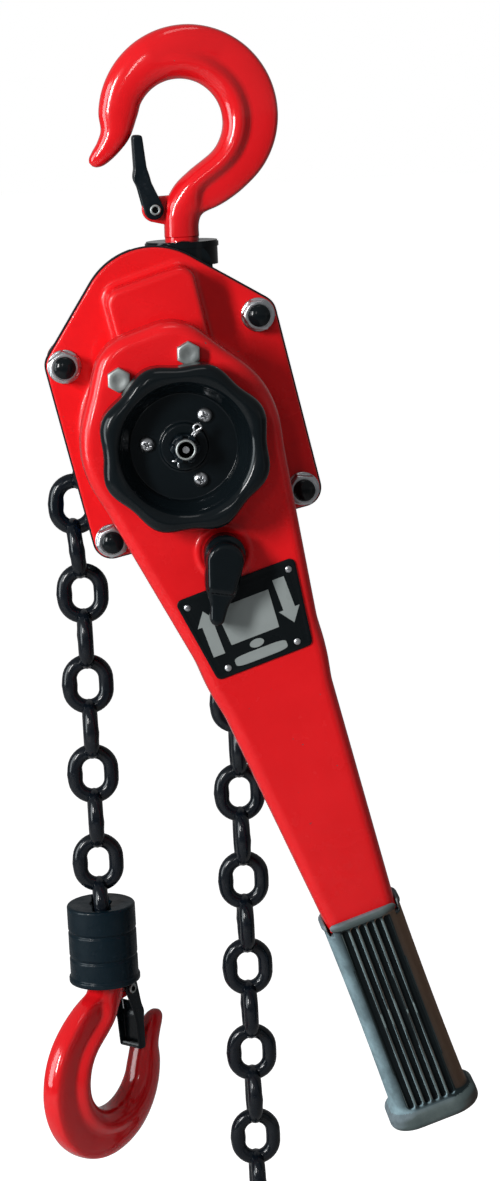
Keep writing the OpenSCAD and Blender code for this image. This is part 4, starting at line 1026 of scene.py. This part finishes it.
def hook_section(ring, web, bead_at):
    """A forged section: a round bead on the inside of the bend and, where web is 1, a flat thinner
    web outside it with a crease between the two."""
    x, z, wide, thick, deg = ring
    way_x, way_z = turn(deg)
    taper = 0.14 if deg < -10 else 0.042 + 0.098 * max(0.0, 1 - (deg + 10) / 30)
    pts = []
    for k in range(SECTION_POINTS):
        c, s = turn(360 * k / SECTION_POINTS)
        w = math.copysign(abs(c) ** 0.9, c)
        full = abs(s) ** 0.82 * (1 - taper * c)
        bead = math.sqrt(max(0.0, 1 - ((w + bead_at) / (1 - bead_at)) ** 2)) if w < 1 - 2 * bead_at else 0.0
        shaped = common(bead, abs(s) ** 0.36 * WEB_THICK, 0.08)
        v = thick * math.copysign((1 - web) * full + web * min(full * 1.04, shaped), s)
        pts.append((x + wide * w * way_x, v, z + wide * w * way_z))
    return pts


def hook_points():
    """The web grows from nothing past the neck and fades out before the tip."""
    rings = smooth_rings(HOOK_RINGS, RING_STEPS)
    points = []
    for i, ring in enumerate(rings):
        at = i / RING_STEPS
        low = share(at, 1.6, 2.4)
        web = share(at, 1.4, 1.6) * share(112 - ring[4], 0, 55) if at < WEB_END_RING else 0.0
        points += hook_section(ring, web, BEAD_AT * low * low * (3 - 2 * low))
    return np.array(points), [(f[0], *f[:0:-1]) for f in bridged(SECTION_POINTS, len(rings))]


def ear_field(x, y, z):
    """The latch's ear, and inside the yoke the hook's stem and button."""
    ear = slab(bar(x, z, (*LATCH_P, 6.4), (-3, -65, 8.0)), y, -2.5, 2.5, 1.0)
    r = np.hypot(x - STEM_X, y)
    stem = np.maximum(r - STEM_R + 0.2, np.maximum(z + 75, BUTTON_Z0 - z))
    button = np.maximum(r - BUTTON_R, np.abs(z - (BUTTON_Z0 + BUTTON_Z1) / 2) - 3.4)
    return np.minimum(cut(ear, disc(x, z, *LATCH_P, 2.05)), np.minimum(stem, button))


def make_hook(name, node, place):
    points, faces = hook_points()
    ear, quads = skin(ear_field, (-21, -12.2, -91.5), (11, 12.2, -56), 0.6)
    faces += [tuple(q) for q in (quads + len(points)).tolist()]
    put(mesh_object(name, place(np.concatenate([points, ear])), faces, RED_FORGED), node)


FLANGE_HALF, CHANNEL_HALF, CHANNEL_T = 7.4, 6.1, 1.3
RIVET_END, RIVET_OUT_R, RIVET_IN_R, RIVET_SHANK_R = 8.8, 2.7, 1.5, 2.0


def latch_outline(x, z):
    """The flange: a lobe round the pin, a bend on the outer side and a narrow finger to the tip."""
    low = bar(x, z, (LATCH_P[0] - 0.6, LATCH_P[1], 5.0), (*LATCH_BEND, 3.3))
    high = bar(x, z, (*LATCH_BEND, 3.3), (*LATCH_T, 2.6))
    return common(merge(low, high, 3), z - LATCH_T[1] - 2.0, 0.6)


def latch_field(x, y, z):
    """A pressed channel: two flanges either side of the ear and a spine on its outer edge."""
    outer = slab(latch_outline(x, z), y, -FLANGE_HALF, FLANGE_HALF, 0.9)
    hollow = np.minimum.reduce([latch_outline(x - shift, z) + CHANNEL_T for shift in (0, 3, 6, 9)])
    hollow = np.minimum(hollow, z - LATCH_P[1] - 11)
    hollow = np.maximum(np.abs(y) - CHANNEL_HALF, hollow)
    return cut(cut(outer, hollow, 0.4), disc(x, z, *LATCH_P, 2.06))


def rivet_field(x, y, z):
    """Hollow rivet: shank and two rolled heads, the middle open at both ends."""
    r = disc(x, z, *LATCH_P, 0)
    heads = slab(r - RIVET_OUT_R, np.abs(y), FLANGE_HALF, RIVET_END, 0.5)
    shank = np.maximum(r - RIVET_SHANK_R, np.abs(y) - 8.2)
    return cut(np.minimum(heads, shank), np.maximum(r - RIVET_IN_R, 6.0 - np.abs(y)), 0.5)


def rivet_bore_shade(x, y, z):
    """1 inside the rivet's bore, which is painted black as painted shade, 0 elsewhere."""
    return (disc(x, z, *LATCH_P, RIVET_IN_R + 0.12) < 0) & (np.abs(y) < RIVET_END - 0.25)


def make_latch(which, place):
    (px, pz), (tx, tz) = LATCH_P, LATCH_T
    lo, hi = (tx - 4, -7.5, pz - 6), (px + 6, 7.5, tz + 3)
    put(form(which + "_latch_skin", latch_field, lo, hi, 0.45, FITTING, place), which + "_latch")
    lo, hi = (px - 3.4, -9, pz - 3.4), (px + 3.4, 9, pz + 3.4)
    # The rivet's bore takes the black enamel as painted shade.
    put(zoned_form(which + "_rivet_skin", rivet_field, lo, hi, 0.24, (BOLT_ZINC, BLACK), rivet_bore_shade, place),
        which + "_latch_pin")


def low_place(p):
    """The lower hook hangs upside down in the block and is turned about its shank."""
    x, y, z = (p * LOW_SCALE * np.array([-1, 1, -1])).T
    x = x + LOW_SCALE * STEM_X
    c, s = turn(LOW_TURN)
    return np.stack([x * c - y * s + LOAD_X, x * s + y * c, z + LOW_Z + LOW_SUNK + LOW_SCALE * YOKE_Z], 1)


# ---- lower block ----
BLOCK_R, BLOCK_H, BLOCK_LIP_H = 18.0, 42.0, 3.0
SLOT_HALF, SLOT_DEEP = (4.35, 13.85), 30
BORE_R, BORE_TOP = 9.8, 12.8
SCREW_HOLES, HOLE_R, HOLES_Y = [(-9, 23.5), (9, 23.5)], 3.2, 10


def block_field(x, y, z):
    r = np.hypot(x, y)
    body = slab(r - BLOCK_R, z, 0, BLOCK_H, (0.4, 1.3))
    solid = merge(body, slab(r - BLOCK_R - 0.8, z, 0, BLOCK_LIP_H, 0.7), 0.6)
    for k in (1, 2):
        solid = cut(solid, disc(r, z, BLOCK_R + 0.15, k * BLOCK_H / 3, 0.85), 0.5)
    solid = cut(solid, slab(r - 5.5, z, BLOCK_H - 0.8, BLOCK_H + 5, 0.1), 0.8)
    slot = np.maximum(np.maximum(np.abs(x) - SLOT_HALF[0], np.abs(y) - SLOT_HALF[1]), BLOCK_H - SLOT_DEEP - z)
    bore = np.maximum(r - BORE_R, z - BORE_TOP)
    screws = np.maximum(spots(x, z, SCREW_HOLES, HOLE_R), HOLES_Y - y)
    return cut(solid, np.minimum(np.minimum(slot, screws), bore), 0.6)


def in_block(points):
    return points + np.array([LOAD_X, 0, LOW_Z])


def make_block():
    put(form("block_skin", block_field, (-19, -19, 0), (19, 19, BLOCK_H), 0.5, BLOCK_BLACK, in_block),
        "block_front", ("block_rear",))


# ---- chain ----
WIRE_R, LINK_PITCH, LINK_WIDTH = 3.85, 24.0, 26.7
WELD_H, WELD_WIDE = 0.32, 1.3


def islands(obj):
    """A mesh's separate shells, each as its triangles' corners in millimetres (n, 3, 3)."""
    me = obj.data
    me.calc_loop_triangles()
    at = np.array([v.co for v in me.vertices]) / MM
    corners = np.array([t.vertices for t in me.loop_triangles])
    same = np.unique(np.round(at, 3), axis=0, return_inverse=True)[1].ravel()
    label = np.arange(same.max() + 1)
    rows = same[corners]
    while True:
        low = label[rows].min(1)
        before = label.copy()
        for k in range(3):
            np.minimum.at(label, rows[:, k], low)
        label = label[label]
        if (label == before).all():
            break
    shells = label[rows[:, 0]]
    return [at[corners[shells == n]] for n in np.unique(shells)]


def link_axes(triangles):
    """Centre and the long and wide directions of a link, by the spread of its surface."""
    a, b, c = triangles.transpose(1, 0, 2)
    area = np.linalg.norm(np.cross(b - a, c - a), axis=1)
    middle = triangles.mean(1)
    centre = (middle * area[:, None]).sum(0) / area.sum()
    off = middle - centre
    spread = (off[:, :, None] * off[:, None, :] * area[:, None, None]).sum(0)
    ways = np.linalg.eigh(spread)[1]
    return centre, ways[:, 2], ways[:, 1]


def link_path(n=40):
    """Half-round ends and straight sides, as (along, across) points and the wire's radius at each."""
    bend = LINK_WIDTH / 2 - WIRE_R
    straight = LINK_PITCH / 2 - bend
    path, radii = [], []
    for k in range(n):
        c, s = turn(360 * k / n)
        along = bend * s + math.copysign(straight, s) * min(1, abs(s) * 6)
        path.append((along, bend * c))
        radii.append(WIRE_R + (WELD_H * math.exp(-(along / WELD_WIDE) ** 2) if c > 0 else 0.0))
    return path, radii


def make_chain(node):
    path, radii = link_path()
    points, faces = [], []
    for shell in islands(NODES[node]):
        centre, long_way, wide_way = link_axes(shell)
        link, quads = tube([centre + long_way * u + wide_way * v for u, v in path], radii, 16, closed=True)
        faces.append(np.array(quads) + len(points) * len(link))
        points.append(link)
    put(mesh_object(node + "_links", np.concatenate(points), np.concatenate(faces), CHAIN), node)


# ---- floor ----
def make_stage():
    me = bpy.data.meshes.new("floor")
    s, z = FLOOR_HALF, FLOOR_Z
    me.from_pydata([(-s, -s, z), (s, -s, z), (s, s, z), (-s, s, z)], [], [(0, 1, 2, 3)])
    me.materials.append(FLOOR)
    linked("floor", me)


make_camera()
make_world()
make_lights()
dress_frame()
make_brake_cover()
make_lever()
make_fasteners()
make_wheel()
make_shaft_end()
make_split_pin()
make_grip()
make_knob()
make_nameplate()
make_hook("top_hook_skin", "top_hook", plain)
make_hook("bottom_hook_skin", "bottom_hook", low_place)
make_block()
make_latch("top", plain)
make_latch("bottom", low_place)
for chain in ("load_chain", "tail_chain", "wrapped_chain"):
    make_chain(chain)
make_stage()

bpy.context.scene.view_settings.view_transform = "Standard"
